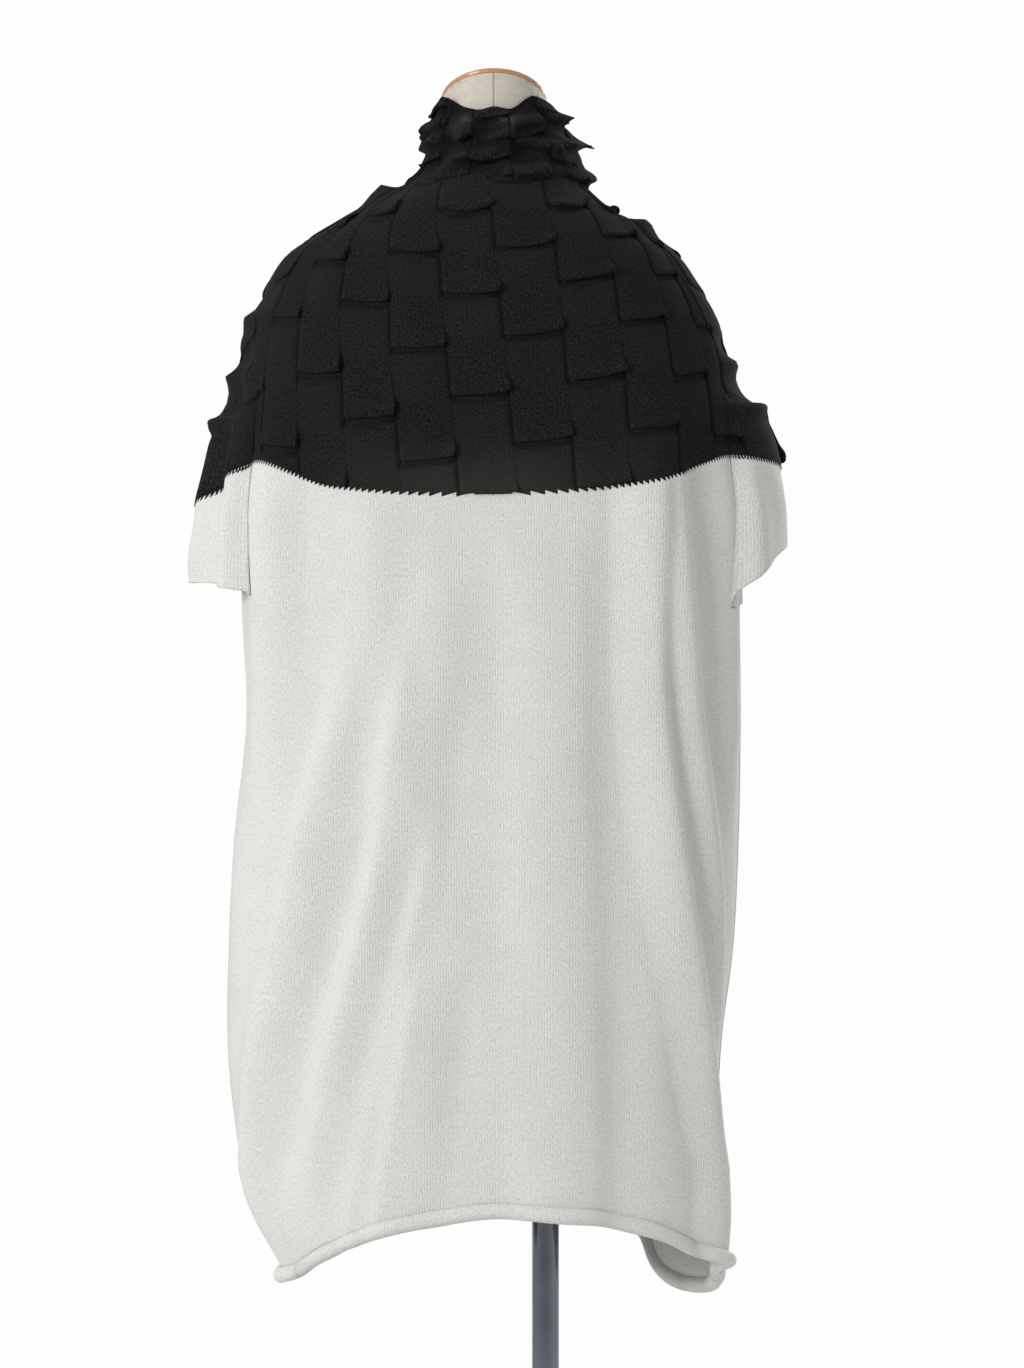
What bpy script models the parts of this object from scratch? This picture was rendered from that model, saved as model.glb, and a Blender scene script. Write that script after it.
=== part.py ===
"""Knit tunic worn by a limbless dress form on a pole stand.

The tunic is a back and a front panel, each cut in one with the tops of its drop sleeves: a
black yoke of raised blocks over a white body, two white sleeve ends, a ruffled stand-up
collar and a rolled hem. All of the cloth is a 2 mm wall round an empty hollow.

Metres, +Z up. The origin is on the floor, in the middle of the stand's round base. The back
of the tunic faces -Y. Cloth and form are drawn round the form's own axis, at FORM_X.

A place on the cloth has a turn, in degrees round the form's axis (0 right, 90 front, 180
left, -90 back), and a height. On a panel it also has an across: -1 at the left side seam,
0 in the middle and 1 at the right side seam.
"""
import math

import bmesh
import bpy
import numpy as np

# ---------------------------------------------------------------- driving dimensions
WALL = 0.002               # thickness of the knit
SEAM = 0.0003              # space between two pieces at a seam
FINE = 80                  # steps in which a length along the cloth is measured
FORM_X = -0.050            # the form hangs this far to the left of its pole

NECK_SEAM_Z = 1.435        # the collar is sewn on here
UNDERARM_Z = 1.085         # lowest point of the armholes
VALLEY_TURN = 18.0         # degrees from the side to where a sleeve meets the body

BLOCKS_ACROSS = 13         # knit blocks across one panel
BLOCKS_UP = 7              # knit blocks from the white edge to the collar
BODY_BLOCKS = 5            # blocks from the middle of a panel to the sleeve
BLOCK_WIDTH = 0.056
BLOCK_RAISE = 0.002        # a raised block over a low one
RIDGE_RAISE = 0.007        # the curled edge along a raised block's top
RIDGE_ROOM = 0.3           # blocks squeezed to less than this share of their width lie flatter
BORDER = 0.07              # half the width of a block's border, as a share of the block

HEM_ROLL = 0.0078          # radius of the rolled hem
HEM_GAP = 0.0006           # space between the roll and the wall over it
HEM_SIDES = 8
SKIRT_ROWS = 10
FOLD_FADE = 0.25           # a fold reaches its full height over this share of its length
SIDE_LINES = (0.3, 0.6, 1.0)                # from the valley to the side seam
SLEEVE_ROWS = 5
SLEEVE_INSIDE_LINES = (0.16, 0.38, 0.62, 0.84)
VALLEY_NOTCH = 0.0035      # white corners in the valley stop this far under the yoke
SLEEVE_STAND_OFF = 0.0043  # space between the body's side and the sleeve lying on it
COLLAR_WAVES = 12
COLLAR_COLUMNS = 60
COLLAR_SHIFT_Z = 1.490     # ruffles above this stand over the gaps of those below
COLLAR_DIP = 0.14          # the collar's top falls this much for each metre back or forward

NECK_TOP_Z = 1.5135        # height of the neck's slanted top, on its axis
NECK_SLANT = 0.456         # the top falls this much for each metre forward
NECK_CAP = 0.0052          # thickness of the cap on the neck
CAP_EDGE = 0.97            # the cap's top is this much narrower than the neck
FORM_SIDES = 32
FORM_BOTTOM_Z = 0.780

POLE_RADIUS = 0.013
BASE_RADIUS = 0.190
BASE_HEIGHT = 0.012
BASE_RIM = 0.005           # the base's edge is this much lower than its middle
HUB_RADIUS = 0.024
HUB_TOP_Z = 0.050
HUB_FILLET = 0.008
FLANGE_RADIUS = 0.045
FLANGE_DEPTH = 0.004
SOCKET_WALL = 0.005
SOCKET_DEPTH = 0.030
EDGE = 0.002               # bevel on the stand's turned edges

SHARP_ANGLE = 40.0         # edges sharper than this are shaded as edges
DISPLAY_GAMMA = 2.2


def table(columns, *rows):
    """Name the columns of a short table."""
    return dict(zip(columns.split(), np.array(rows, dtype=float).T))


# How far the body of the tunic reaches from the form's axis, from the hem up.
BODY = table(
    "z      left   right  back   front  square",
    (0.340, 0.182, 0.214, 0.102, 0.104, 2.2),
    (0.390, 0.204, 0.215, 0.108, 0.107, 2.2),
    (0.440, 0.231, 0.217, 0.113, 0.110, 2.3),
    (0.520, 0.247, 0.214, 0.117, 0.113, 2.3),
    (0.600, 0.255, 0.217, 0.120, 0.117, 2.4),
    (0.700, 0.254, 0.229, 0.120, 0.120, 2.4),
    (0.800, 0.249, 0.234, 0.118, 0.121, 2.5),
    (0.920, 0.237, 0.236, 0.118, 0.122, 2.6),
    (1.030, 0.241, 0.235, 0.121, 0.126, 2.9),
    (1.140, 0.243, 0.233, 0.126, 0.132, 3.0),
    (1.226, 0.240, 0.231, 0.129, 0.129, 2.8),
    (1.296, 0.235, 0.216, 0.127, 0.112, 2.5),
    (1.342, 0.215, 0.194, 0.122, 0.099, 2.3),
    (1.366, 0.198, 0.178, 0.117, 0.093, 2.2),
    (1.389, 0.167, 0.148, 0.110, 0.088, 2.1),
    (1.414, 0.124, 0.110, 0.098, 0.082, 2.0),
    (1.426, 0.100, 0.095, 0.088, 0.078, 2.0),
    (1.440, 0.080, 0.083, 0.079, 0.074, 2.0),
)

# How far the sleeves stand out beyond the body. A roundness of 0.5 is half an ellipse that
# meets the body in a sharp valley, and a larger one melts into the shoulder.
SLEEVES = table(
    "z      left   right  roundness",
    (1.020, 0.053, 0.046, 0.50),
    (1.098, 0.049, 0.048, 0.50),
    (1.156, 0.038, 0.044, 0.55),
    (1.203, 0.028, 0.031, 0.80),
    (1.249, 0.011, 0.006, 1.30),
    (1.300, 0.002, 0.001, 1.60),
    (1.330, 0.000, 0.000, 1.60),
)
SLEEVE_CREASE = {"turn": -171.0, "width": 3.5, "depth": 0.020, "z_top": 1.300, "fade": 0.160}

# The lower edge of each sleeve, at its outermost point and beside the body.
CUFFS = {-1: {"outer": 1.0505, "inner": 1.037}, 1: {"outer": 1.086, "inner": 1.031}}

# The white body begins here, across each panel.
WHITE_EDGE = table(
    "across  back   front",
    (-1.00, 1.124, 1.124),
    (-0.89, 1.146, 1.143),
    (-0.77, 1.162, 1.158),
    (-0.45, 1.139, 1.140),
    (0.00, 1.131, 1.133),
    (0.45, 1.144, 1.142),
    (0.77, 1.169, 1.166),
    (0.89, 1.166, 1.163),
    (1.00, 1.160, 1.160),
)

# Height of the middle of the rolled hem, round the body.
HEM = table(
    "turn     z",
    (-180.0, 0.381),
    (-166.0, 0.388),
    (-151.0, 0.413),
    (-137.0, 0.433),
    (-110.0, 0.450),
    (-90.0, 0.455),
    (-65.0, 0.452),
    (-43.0, 0.445),
    (-29.0, 0.432),
    (-17.0, 0.411),
    (-5.0, 0.390),
    (8.0, 0.368),
    (18.0, 0.364),
    (25.0, 0.384),
    (33.0, 0.412),
    (46.0, 0.430),
    (62.0, 0.440),
    (90.0, 0.446),
    (120.0, 0.432),
    (148.0, 0.402),
    (166.0, 0.386),
)

# Soft folds in the body: turn at the fold's top and foot, half width in degrees before and
# after its middle, height outwards (a trough is negative), and the heights it runs between.
# A bend over 1 keeps it upright for longer, and a fold that keeps runs on into the hem.
FOLDS = table(
    "top foot before after out z_top z_foot bend keeps",
    (-156.0, -166.0, 4.5, 4.5, 0.009, 1.230, 0.800, 1.0, 0),
    (-147.5, -152.0, 4.5, 4.5, -0.005, 1.170, 0.820, 1.0, 0),
    (-139.0, -168.0, 3.8, 4.5, 0.011, 1.030, 0.490, 1.0, 1),
    (-133.0, -128.0, 6.0, 6.0, 0.004, 1.160, 0.800, 1.0, 0),
    (-117.0, -151.0, 5.0, 14.0, 0.009, 1.060, 0.490, 1.0, 1),
    (-109.0, -133.0, 4.5, 13.0, 0.006, 0.820, 0.440, 1.0, 1),
    (-68.0, -62.0, 13.0, 13.0, 0.008, 1.170, 0.450, 1.0, 1),
    (-49.0, -40.0, 6.0, 6.0, -0.004, 1.170, 0.500, 1.0, 1),
    (-41.0, -8.5, 5.4, 3.6, 0.014, 1.230, 0.490, 1.8, 1),
    (-39.5, -11.5, 3.4, 3.2, 0.011, 1.210, 0.600, 1.0, 0),
    (-20.0, -12.0, 5.0, 5.0, 0.010, 1.230, 0.800, 1.0, 0),
    (21.0, 14.0, 5.0, 5.0, 0.009, 1.230, 0.640, 1.0, 1),
    (36.0, 22.0, 6.0, 6.0, -0.009, 1.160, 0.440, 1.0, 1),
    (48.0, 34.0, 7.0, 7.0, 0.008, 1.150, 0.400, 1.0, 1),
    (70.0, 58.0, 8.0, 8.0, -0.006, 1.080, 0.400, 1.0, 1),
    (96.0, 92.0, 10.0, 10.0, 0.005, 1.120, 0.400, 1.0, 1),
    (122.0, 132.0, 7.0, 7.0, -0.007, 1.120, 0.400, 1.0, 1),
    (140.0, 150.0, 6.0, 6.0, 0.008, 1.160, 0.420, 1.0, 1),
    (159.0, 162.0, 5.0, 5.0, 0.008, 1.230, 0.800, 1.0, 1),
)

# The collar, from the seam up: reach of its hollow, and how far its ruffles wave.
COLLAR = table(
    "z      left   right  back   front  wave",
    (1.4353, 0.084, 0.087, 0.080, 0.075, 0.000),
    (1.4440, 0.074, 0.084, 0.075, 0.072, 0.005),
    (1.4500, 0.071, 0.081, 0.073, 0.070, 0.007),
    (1.4590, 0.066, 0.077, 0.067, 0.065, 0.001),
    (1.4700, 0.068, 0.082, 0.070, 0.068, 0.007),
    (1.4840, 0.062, 0.066, 0.062, 0.061, 0.001),
    (1.4980, 0.066, 0.066, 0.066, 0.064, 0.006),
    (1.5070, 0.055, 0.054, 0.057, 0.057, 0.001),
    (1.5120, 0.052, 0.052, 0.054, 0.054, 0.000),
    (1.5160, 0.052, 0.052, 0.054, 0.054, 0.001),
)

# The form, from its flat bottom to the foot of its neck. Above, the neck is straight.
FORM = table(
    "z      side   back   front  square",
    (0.780, 0.146, 0.098, 0.092, 2.3),
    (0.792, 0.156, 0.106, 0.100, 2.3),
    (0.860, 0.164, 0.111, 0.105, 2.4),
    (0.930, 0.158, 0.106, 0.104, 2.4),
    (1.000, 0.141, 0.092, 0.098, 2.3),
    (1.060, 0.126, 0.083, 0.091, 2.2),
    (1.130, 0.135, 0.089, 0.100, 2.2),
    (1.200, 0.156, 0.100, 0.116, 2.3),
    (1.250, 0.168, 0.107, 0.115, 2.4),
    (1.300, 0.177, 0.110, 0.103, 2.4),
    (1.335, 0.178, 0.111, 0.094, 2.4),
    (1.360, 0.170, 0.109, 0.088, 2.3),
    (1.380, 0.150, 0.104, 0.084, 2.2),
    (1.398, 0.124, 0.096, 0.078, 2.1),
    (1.412, 0.101, 0.087, 0.073, 2.0),
    (1.424, 0.085, 0.078, 0.068, 2.0),
    (1.438, 0.072, 0.067, 0.062, 2.0),
    (1.454, 0.060, 0.059, 0.057, 2.0),
    (1.468, 0.0515, 0.0535, 0.0535, 2.0),
)


# ---------------------------------------------------------------- curves and sections
def curve_through(x, places, values):
    """Read a smooth curve through a table's values."""
    x = np.asarray(x, dtype=float)
    slopes = np.gradient(values, places)
    left = np.clip(np.searchsorted(places, x) - 1, 0, len(places) - 2)
    span = places[left + 1] - places[left]
    part = np.clip((x - places[left]) / span, 0.0, 1.0)
    value = values[left] * (1 + 2 * part) * (1 - part) ** 2
    value += values[left + 1] * part**2 * (3 - 2 * part)
    value += slopes[left] * span * part * (1 - part) ** 2
    value -= slopes[left + 1] * span * part**2 * (1 - part)
    return value


def around(turn, turns, values):
    """Read a smooth closed curve through values given round the body."""
    turns = np.concatenate([turns[-2:] - 360, turns, turns[:2] + 360])
    values = np.concatenate([values[-2:], values, values[:2]])
    return curve_through((np.asarray(turn) + 180) % 360 - 180, turns, values)


def turn_between(turn, other):
    """The smaller angle from one turn to another, in degrees."""
    return (np.asarray(turn) - other + 180) % 360 - 180


def bell(distance, width):
    """A soft hump: 1 in the middle, 0 from twice the half width on."""
    return np.cos(np.clip(distance / (2 * width), -1, 1) * math.pi / 2) ** 2


def oval(turn, left, right, back, front, square):
    """Radius of a rounded section that reaches differently to its four sides."""
    angle = np.radians(turn)
    wide = np.where(np.cos(angle) < 0, left, right)
    deep = np.where(np.sin(angle) < 0, back, front)
    across = np.abs(np.cos(angle) / wide) ** square
    along = np.abs(np.sin(angle) / deep) ** square
    return (across + along) ** (-1 / square)


def body_radius(turn, z):
    """The body's hollow: its section with the folds."""
    reaches = [curve_through(z, BODY["z"], BODY[name]) for name in ("left", "right", "back", "front")]
    radius = oval(turn, *reaches, curve_through(z, BODY["z"], BODY["square"]))
    for top, foot, before, after, out, z_top, z_foot, bend, keeps in zip(*FOLDS.values()):
        fallen = np.clip((z_top - z) / (z_top - z_foot), 0, 1)
        past_middle = turn_between(turn, top + (foot - top) * fallen**bend)
        fades = np.clip(fallen / FOLD_FADE, 0, 1) * np.clip(keeps + (1 - fallen) / FOLD_FADE, 0, 1)
        radius = radius + out * fades * bell(past_middle, np.where(past_middle < 0, before, after))
    return radius


def sleeve_reach(turn, z):
    """How far the sleeve's outside stands beyond the body."""
    reach = 0.0
    roundness = curve_through(z, SLEEVES["z"], SLEEVES["roundness"])
    for side_turn, name in ((180.0, "left"), (0.0, "right")):
        share = np.clip(turn_between(turn, side_turn) / VALLEY_TURN, -1, 1)
        size = curve_through(z, SLEEVES["z"], SLEEVES[name])
        reach = reach + size * (1 - share**2) ** roundness
    crease = bell(turn_between(turn, SLEEVE_CREASE["turn"]), SLEEVE_CREASE["width"])
    fallen = np.clip((SLEEVE_CREASE["z_top"] - z) / SLEEVE_CREASE["fade"], 0, 1)
    return np.maximum(reach - crease * fallen * SLEEVE_CREASE["depth"], 0.0)


def placed(turn, radius, z):
    """Points at the given turns, radii and heights."""
    angle = np.radians(turn)
    x, y, z = np.broadcast_arrays(radius * np.cos(angle), radius * np.sin(angle), z)
    return np.stack([x, y, z], axis=-1)


def cape_radius(turn, z):
    """The yoke's hollow, sleeves included."""
    return body_radius(turn, z) + sleeve_reach(turn, z)


def outward(radius_of, turn, z):
    """Unit normals of a surface that is given as a radius over turn and height."""
    step_turn, step_z = 0.3, 0.001
    along = placed(turn + step_turn, radius_of(turn + step_turn, z), z)
    along -= placed(turn - step_turn, radius_of(turn - step_turn, z), z)
    up = placed(turn, radius_of(turn, z + step_z), z + step_z)
    up -= placed(turn, radius_of(turn, z - step_z), z - step_z)
    normal = np.cross(along, up)
    return normal / np.linalg.norm(normal, axis=-1, keepdims=True)


# ---------------------------------------------------------------- the panels' own lines
VALLEY_ACROSS = BODY_BLOCKS / (BLOCKS_ACROSS / 2)
BODY_SPREAD = BODY_BLOCKS * BLOCK_WIDTH


def panel_turns(across, z, panel):
    """Turns of the panel's vertical lines at one height.

    Lines near the middle keep their spacing. Where the section is shorter than the knit is
    wide, towards the neck, the outer ones close up, as the cloth runs over the shoulder.
    """
    turns = np.empty(len(across))
    for side in (-1, 1):
        here = across >= 0 if side > 0 else across < 0
        share = np.abs(across[here])
        fine = np.linspace(90.0, VALLEY_TURN, FINE)
        fine_turn = panel * (fine if side > 0 else 180 - fine)
        line = placed(fine_turn, body_radius(fine_turn, z), z)
        steps = np.linalg.norm(np.diff(line, axis=0), axis=1)
        length = np.concatenate([[0.0], np.cumsum(steps)])
        squeeze = max(BODY_SPREAD / length[-1], 1.0)
        inside = np.clip(share / VALLEY_ACROSS, 0, 1)
        wanted = length[-1] * (1 - (1 - inside) ** squeeze)
        from_side = np.interp(wanted, length, fine)
        over_sleeve = np.clip((share - VALLEY_ACROSS) / (1 - VALLEY_ACROSS), 0, 1)
        on_sleeve = VALLEY_TURN * np.cos(over_sleeve * math.pi / 2)
        from_side = np.where(share > VALLEY_ACROSS, on_sleeve, from_side)
        turns[here] = panel * (from_side if side > 0 else 180 - from_side)
    return turns


def panel_lines(across, panel):
    """Turns of the panel's vertical lines at many heights, as one function per line."""
    levels = np.linspace(HEM["z"].min(), NECK_SEAM_Z, FINE)
    turns = np.array([panel_turns(across, z, panel) for z in levels])
    return lambda line, z: np.interp(z, levels, turns[:, line])


def block_lines(count, extra_beyond):
    """Places of grid lines over a run of blocks, 0 to count, and the block of each.

    Each border has a line on either side and each block one in its middle. Blocks further
    than extra_beyond from the middle of the run have two more.
    """
    lines = []
    for block in range(count):
        start = block if block == 0 else block + BORDER
        end = block + 1 if block == count - 1 else block + 1 - BORDER
        places = [start, block + 0.5, end]
        if abs(block + 0.5 - count / 2) > extra_beyond:
            places = [start, block + 0.25, block + 0.5, block + 0.75, end]
        lines += [(place, block) for place in places]
    return lines


def panel_columns():
    """Across of each vertical line of a panel, and the block it lies in."""
    columns = block_lines(BLOCKS_ACROSS, extra_beyond=BODY_BLOCKS - 0.5)
    across = np.array([place for place, _ in columns]) * 2 / BLOCKS_ACROSS - 1
    return across, [block for _, block in columns]


def white_edge(across, panel):
    """Height of the border between yoke and body."""
    return curve_through(across, WHITE_EDGE["across"], WHITE_EDGE["back" if panel < 0 else "front"])


# ---------------------------------------------------------------- meshes
def material(name, colour, roughness, metallic=0.0):
    """A plain Principled material, from an sRGB colour."""
    finish = bpy.data.materials.new(name)
    finish.use_nodes = True
    shader = finish.node_tree.nodes["Principled BSDF"]
    linear = [(value / 255) ** DISPLAY_GAMMA for value in colour]
    shader.inputs["Base Color"].default_value = (*linear, 1.0)
    shader.inputs["Roughness"].default_value = roughness
    shader.inputs["Metallic"].default_value = metallic
    return finish


def new_object(name, shape, finish, x=FORM_X, smooth=True):
    """Put a mesh, as bmesh, in the part's collection."""
    bmesh.ops.recalc_face_normals(shape, faces=shape.faces)
    if shape.calc_volume(signed=True) < 0:
        bmesh.ops.reverse_faces(shape, faces=shape.faces)
    mesh = bpy.data.meshes.new(name)
    shape.to_mesh(mesh)
    shape.free()
    mesh.materials.append(finish)
    if smooth:
        mesh.shade_smooth()
        mesh.set_sharp_from_angle(angle=math.radians(SHARP_ANGLE))
    piece = bpy.data.objects.new(name, mesh)
    piece.location.x = x
    PARTS.objects.link(piece)
    return piece


def wall(name, inner, outer, finish, closed=False):
    """Loft a cloth wall between two grids of points, its hollow side and its outside."""
    shape = bmesh.new()
    rows, columns = inner.shape[:2]
    sides = [[[shape.verts.new(point) for point in row] for row in grid] for grid in (inner, outer)]
    spans = [(j, (j + 1) % columns) for j in range(columns if closed else columns - 1)]
    for grid in sides:
        for i in range(rows - 1):
            for j, k in spans:
                shape.faces.new((grid[i][j], grid[i][k], grid[i + 1][k]))
                shape.faces.new((grid[i][j], grid[i + 1][k], grid[i + 1][j]))
    hollow, outside = sides
    for i in (0, rows - 1):
        for j, k in spans:
            shape.faces.new((hollow[i][j], hollow[i][k], outside[i][k], outside[i][j]))
    if not closed:
        for j in (0, columns - 1):
            for i in range(rows - 1):
                shape.faces.new((hollow[i][j], hollow[i + 1][j], outside[i + 1][j], outside[i][j]))
    return new_object(name, shape, finish)


def stack(name, rings, finish):
    """Loft a solid through rings of points, with flat ends."""
    shape = bmesh.new()
    rings = [[shape.verts.new(point) for point in ring] for ring in rings]
    count = len(rings[0])
    for lower, upper in zip(rings, rings[1:]):
        for j in range(count):
            k = (j + 1) % count
            shape.faces.new((lower[j], lower[k], upper[k], upper[j]))
    shape.faces.new(rings[0])
    shape.faces.new(rings[-1])
    return new_object(name, shape, finish)


def turned(name, profile, finish, x=0.0, segments=40):
    """Turn a profile, given as radius and height from the top down, round a vertical axis."""
    outline = bmesh.new()
    points = [outline.verts.new((radius, 0.0, z)) for radius, z in profile]
    for upper, lower in zip(points, points[1:]):
        outline.edges.new((upper, lower))
    mesh = bpy.data.meshes.new(name)
    outline.to_mesh(mesh)
    outline.free()
    mesh.materials.append(finish)
    piece = bpy.data.objects.new(name, mesh)
    piece.location.x = x
    PARTS.objects.link(piece)
    screw = piece.modifiers.new("turn", "SCREW")
    screw.steps = segments
    screw.render_steps = segments
    screw.use_merge_vertices = True
    screw.merge_threshold = 0.00001
    return piece


# ---------------------------------------------------------------- the tunic
def yoke(name, panel, finish):
    """The black half of a panel, its blocks raised on the outside of a plain wall."""
    across, columns = panel_columns()
    rows = block_lines(BLOCKS_UP, extra_beyond=BLOCKS_UP)
    rows = [row for row in rows if row[0] % 1 != 0.5]
    lines = panel_lines(across, panel)
    turns = np.empty((len(rows), len(columns)))
    heights = np.empty_like(turns)
    shares = np.array([place for place, _ in rows]) / BLOCKS_UP
    for j, place in enumerate(across):
        z = np.linspace(white_edge(place, panel) + SEAM / 2, NECK_SEAM_Z - SEAM / 2, FINE)
        line = placed(lines(j, z), cape_radius(lines(j, z), z), z)
        steps = np.linalg.norm(np.diff(line, axis=0), axis=1)
        length = np.concatenate([[0.0], np.cumsum(steps)])
        heights[:, j] = np.interp(shares * length[-1], length, z)
        turns[:, j] = lines(j, heights[:, j])
    inner = placed(turns, cape_radius(turns, heights), heights)
    normal = outward(cape_radius, turns, heights)
    inner, normal = square_to_seams(inner, normal, panel)
    spread = np.linalg.norm(np.gradient(inner, axis=1), axis=2)
    room = np.clip(spread / (RIDGE_ROOM * BLOCK_WIDTH), 0, 1)
    relief = np.zeros_like(heights)
    for i, (row_place, row) in enumerate(rows):
        for j, column in enumerate(columns):
            if (row + column) % 2 == 0:
                top_edge = row_place > row + 0.5
                relief[i, j] = RIDGE_RAISE if top_edge else BLOCK_RAISE
    relief[[0, -1], :] = 0.0
    relief[:, [0, -1]] = 0.0
    outer = inner + normal * (WALL + relief * room)[..., None]
    return wall(name, inner, outer, finish)


def square_to_seams(inner, normal, panel):
    """Turn the wall's ends square to its seams, half a seam's space short of the side ones."""
    normal[[0, -1], :, 2] = 0.0
    normal[:, [0, -1], 1] = 0.0
    normal = normal / np.linalg.norm(normal, axis=-1, keepdims=True)
    inner[:, [0, -1], 1] = panel * SEAM / 2
    return inner, normal


def skirt_grid(panel):
    """Turns of the white panel's vertical lines, and the heights where they end."""
    across, _ = panel_columns()
    across = across[np.abs(across) < VALLEY_ACROSS + 0.001]
    side = VALLEY_ACROSS + (1 - VALLEY_ACROSS) * np.array(SIDE_LINES)
    across = np.concatenate([-side[::-1], across, side])
    tops = np.where(np.abs(across) > VALLEY_ACROSS + 0.001, UNDERARM_Z, white_edge(across, panel))
    tops[np.abs(np.abs(across) - VALLEY_ACROSS) < 0.001] -= VALLEY_NOTCH
    return across, tops - SEAM / 2


def skirt(name, panel, finish):
    """The white half of a panel, from the yoke down to the rolled hem."""
    across, tops = skirt_grid(panel)
    lines = panel_lines(across, panel)
    shares = np.linspace(0, 1, SKIRT_ROWS + 1)
    turns = np.empty((len(shares), len(across)))
    heights = np.empty_like(turns)
    roll_top = HEM_ROLL * math.cos(math.pi / HEM_SIDES)
    for j in range(len(across)):
        hem_turn = lines(j, HEM["z"].max())
        foot = around(hem_turn, HEM["turn"], HEM["z"]) + roll_top + HEM_GAP
        heights[:, j] = foot + (tops[j] - foot) * shares
        turns[:, j] = lines(j, heights[:, j])
    inner = placed(turns, body_radius(turns, heights), heights)
    normal = outward(body_radius, turns, heights)
    inner, normal = square_to_seams(inner, normal, panel)
    return wall(name, inner, inner + normal * WALL, finish)


def hem_roll(name, panel, finish):
    """The lower edge of a panel, curled up on itself."""
    across, _ = skirt_grid(panel)
    lines = panel_lines(across, panel)
    rings = []
    for j, place in enumerate(across):
        turn = float(lines(j, HEM["z"].max()))
        z = float(around(turn, HEM["turn"], HEM["z"]))
        foot = z + HEM_ROLL
        middle = placed(turn, body_radius(turn, foot), z)
        normal = outward(body_radius, np.array(turn), foot)
        normal[2] = 0.0
        if abs(place) > 0.999:
            middle[1] = panel * SEAM / 2
            normal[1] = 0.0
        normal /= np.linalg.norm(normal)
        middle = middle + normal * WALL
        ring = []
        for side in range(HEM_SIDES):
            angle = (side + 0.5) * 2 * math.pi / HEM_SIDES
            spoke = normal * math.cos(angle) + np.array([0, 0, math.sin(angle)])
            ring.append(middle + HEM_ROLL * spoke)
        rings.append(ring)
    return stack(name, rings, finish)


def sleeve_outside_shares():
    """Places over the outside of a sleeve, 0 at its back valley to 1 at its front one."""
    across, _ = panel_columns()
    across = across[across > VALLEY_ACROSS - 0.001]
    half = (across - VALLEY_ACROSS) / (1 - VALLEY_ACROSS) / 2
    return np.concatenate([half, 1 - half[-2::-1]])


def sleeve_loop(side, z, outside_shares, inside_shares):
    """One level round a sleeve end: over its outside from back to front, and back inside."""
    side_turn = 0.0 if side > 0 else 180.0
    outer_turn = side_turn - side * VALLEY_TURN * np.cos(outside_shares * math.pi)
    stand = SLEEVE_STAND_OFF + WALL
    outer = body_radius(outer_turn, z) + np.maximum(sleeve_reach(outer_turn, z), stand)
    inner_turn = side_turn + side * VALLEY_TURN * (1 - 2 * inside_shares)
    inner = body_radius(inner_turn, z) + stand
    return placed(np.concatenate([outer_turn, inner_turn]), np.concatenate([outer, inner]), z)


def sleeve_end(name, side, finish):
    """The white end of a drop sleeve, lying against the body's side."""
    outside = sleeve_outside_shares()
    inside = np.array(SLEEVE_INSIDE_LINES)
    count = len(outside) + len(inside)
    panels = np.where(outside <= 0.5, -1, 1)
    across = side * (VALLEY_ACROSS + (1 - VALLEY_ACROSS) * (1 - np.abs(2 * outside - 1)))
    tops = np.array([white_edge(a, p) for a, p in zip(across, panels)] + [UNDERARM_Z] * len(inside))
    tops -= SEAM / 2
    tops[[0, len(outside) - 1]] -= VALLEY_NOTCH
    bulge = np.concatenate([np.sin(outside * math.pi), np.zeros(len(inside))])
    cuff = CUFFS[side]
    feet = cuff["inner"] + (cuff["outer"] - cuff["inner"]) * bulge
    inner = np.empty((SLEEVE_ROWS + 1, count, 3))
    outer = np.empty_like(inner)
    for i, share in enumerate(np.linspace(0, 1, SLEEVE_ROWS + 1)):
        for j in range(count):
            z = feet[j] + (tops[j] - feet[j]) * share
            loop = sleeve_loop(side, z, outside, inside)
            along = loop[(j + 1) % count] - loop[j - 1]
            normal = np.array([along[1], -along[0], 0.0]) * side
            inner[i, j] = loop[j]
            outer[i, j] = loop[j] + WALL * normal / np.linalg.norm(normal)
    return wall(name, inner, outer, finish, closed=True)


def collar(finish):
    """The stand-up collar: a tube that closes on the neck through three rows of ruffles."""
    turns = np.arange(COLLAR_COLUMNS) * 360 / COLLAR_COLUMNS
    inner = []
    for z, left, right, back, front, wave in zip(*COLLAR.values()):
        radius = oval(turns, left, right, back, front, 2.0)
        shift = math.pi if z > COLLAR_SHIFT_Z else 0.0
        ruffle = 0.5 - 0.5 * np.cos(np.radians(turns) * COLLAR_WAVES + shift)
        ring = placed(turns, radius + wave * ruffle, z)
        climb = (z - COLLAR["z"][0]) / (COLLAR["z"][-1] - COLLAR["z"][0])
        ring[:, 2] -= COLLAR_DIP * climb * np.abs(ring[:, 1])
        inner.append(ring)
    inner = np.array(inner)
    inner[0, :, 2] = NECK_SEAM_Z + SEAM / 2
    along = np.roll(inner, -1, axis=1) - np.roll(inner, 1, axis=1)
    normal = np.cross(along, np.gradient(inner, axis=0))
    normal[[0, -1], :, 2] = 0.0
    normal /= np.linalg.norm(normal, axis=-1, keepdims=True)
    return wall("collar", inner, inner + WALL * normal, finish, closed=True)


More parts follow.
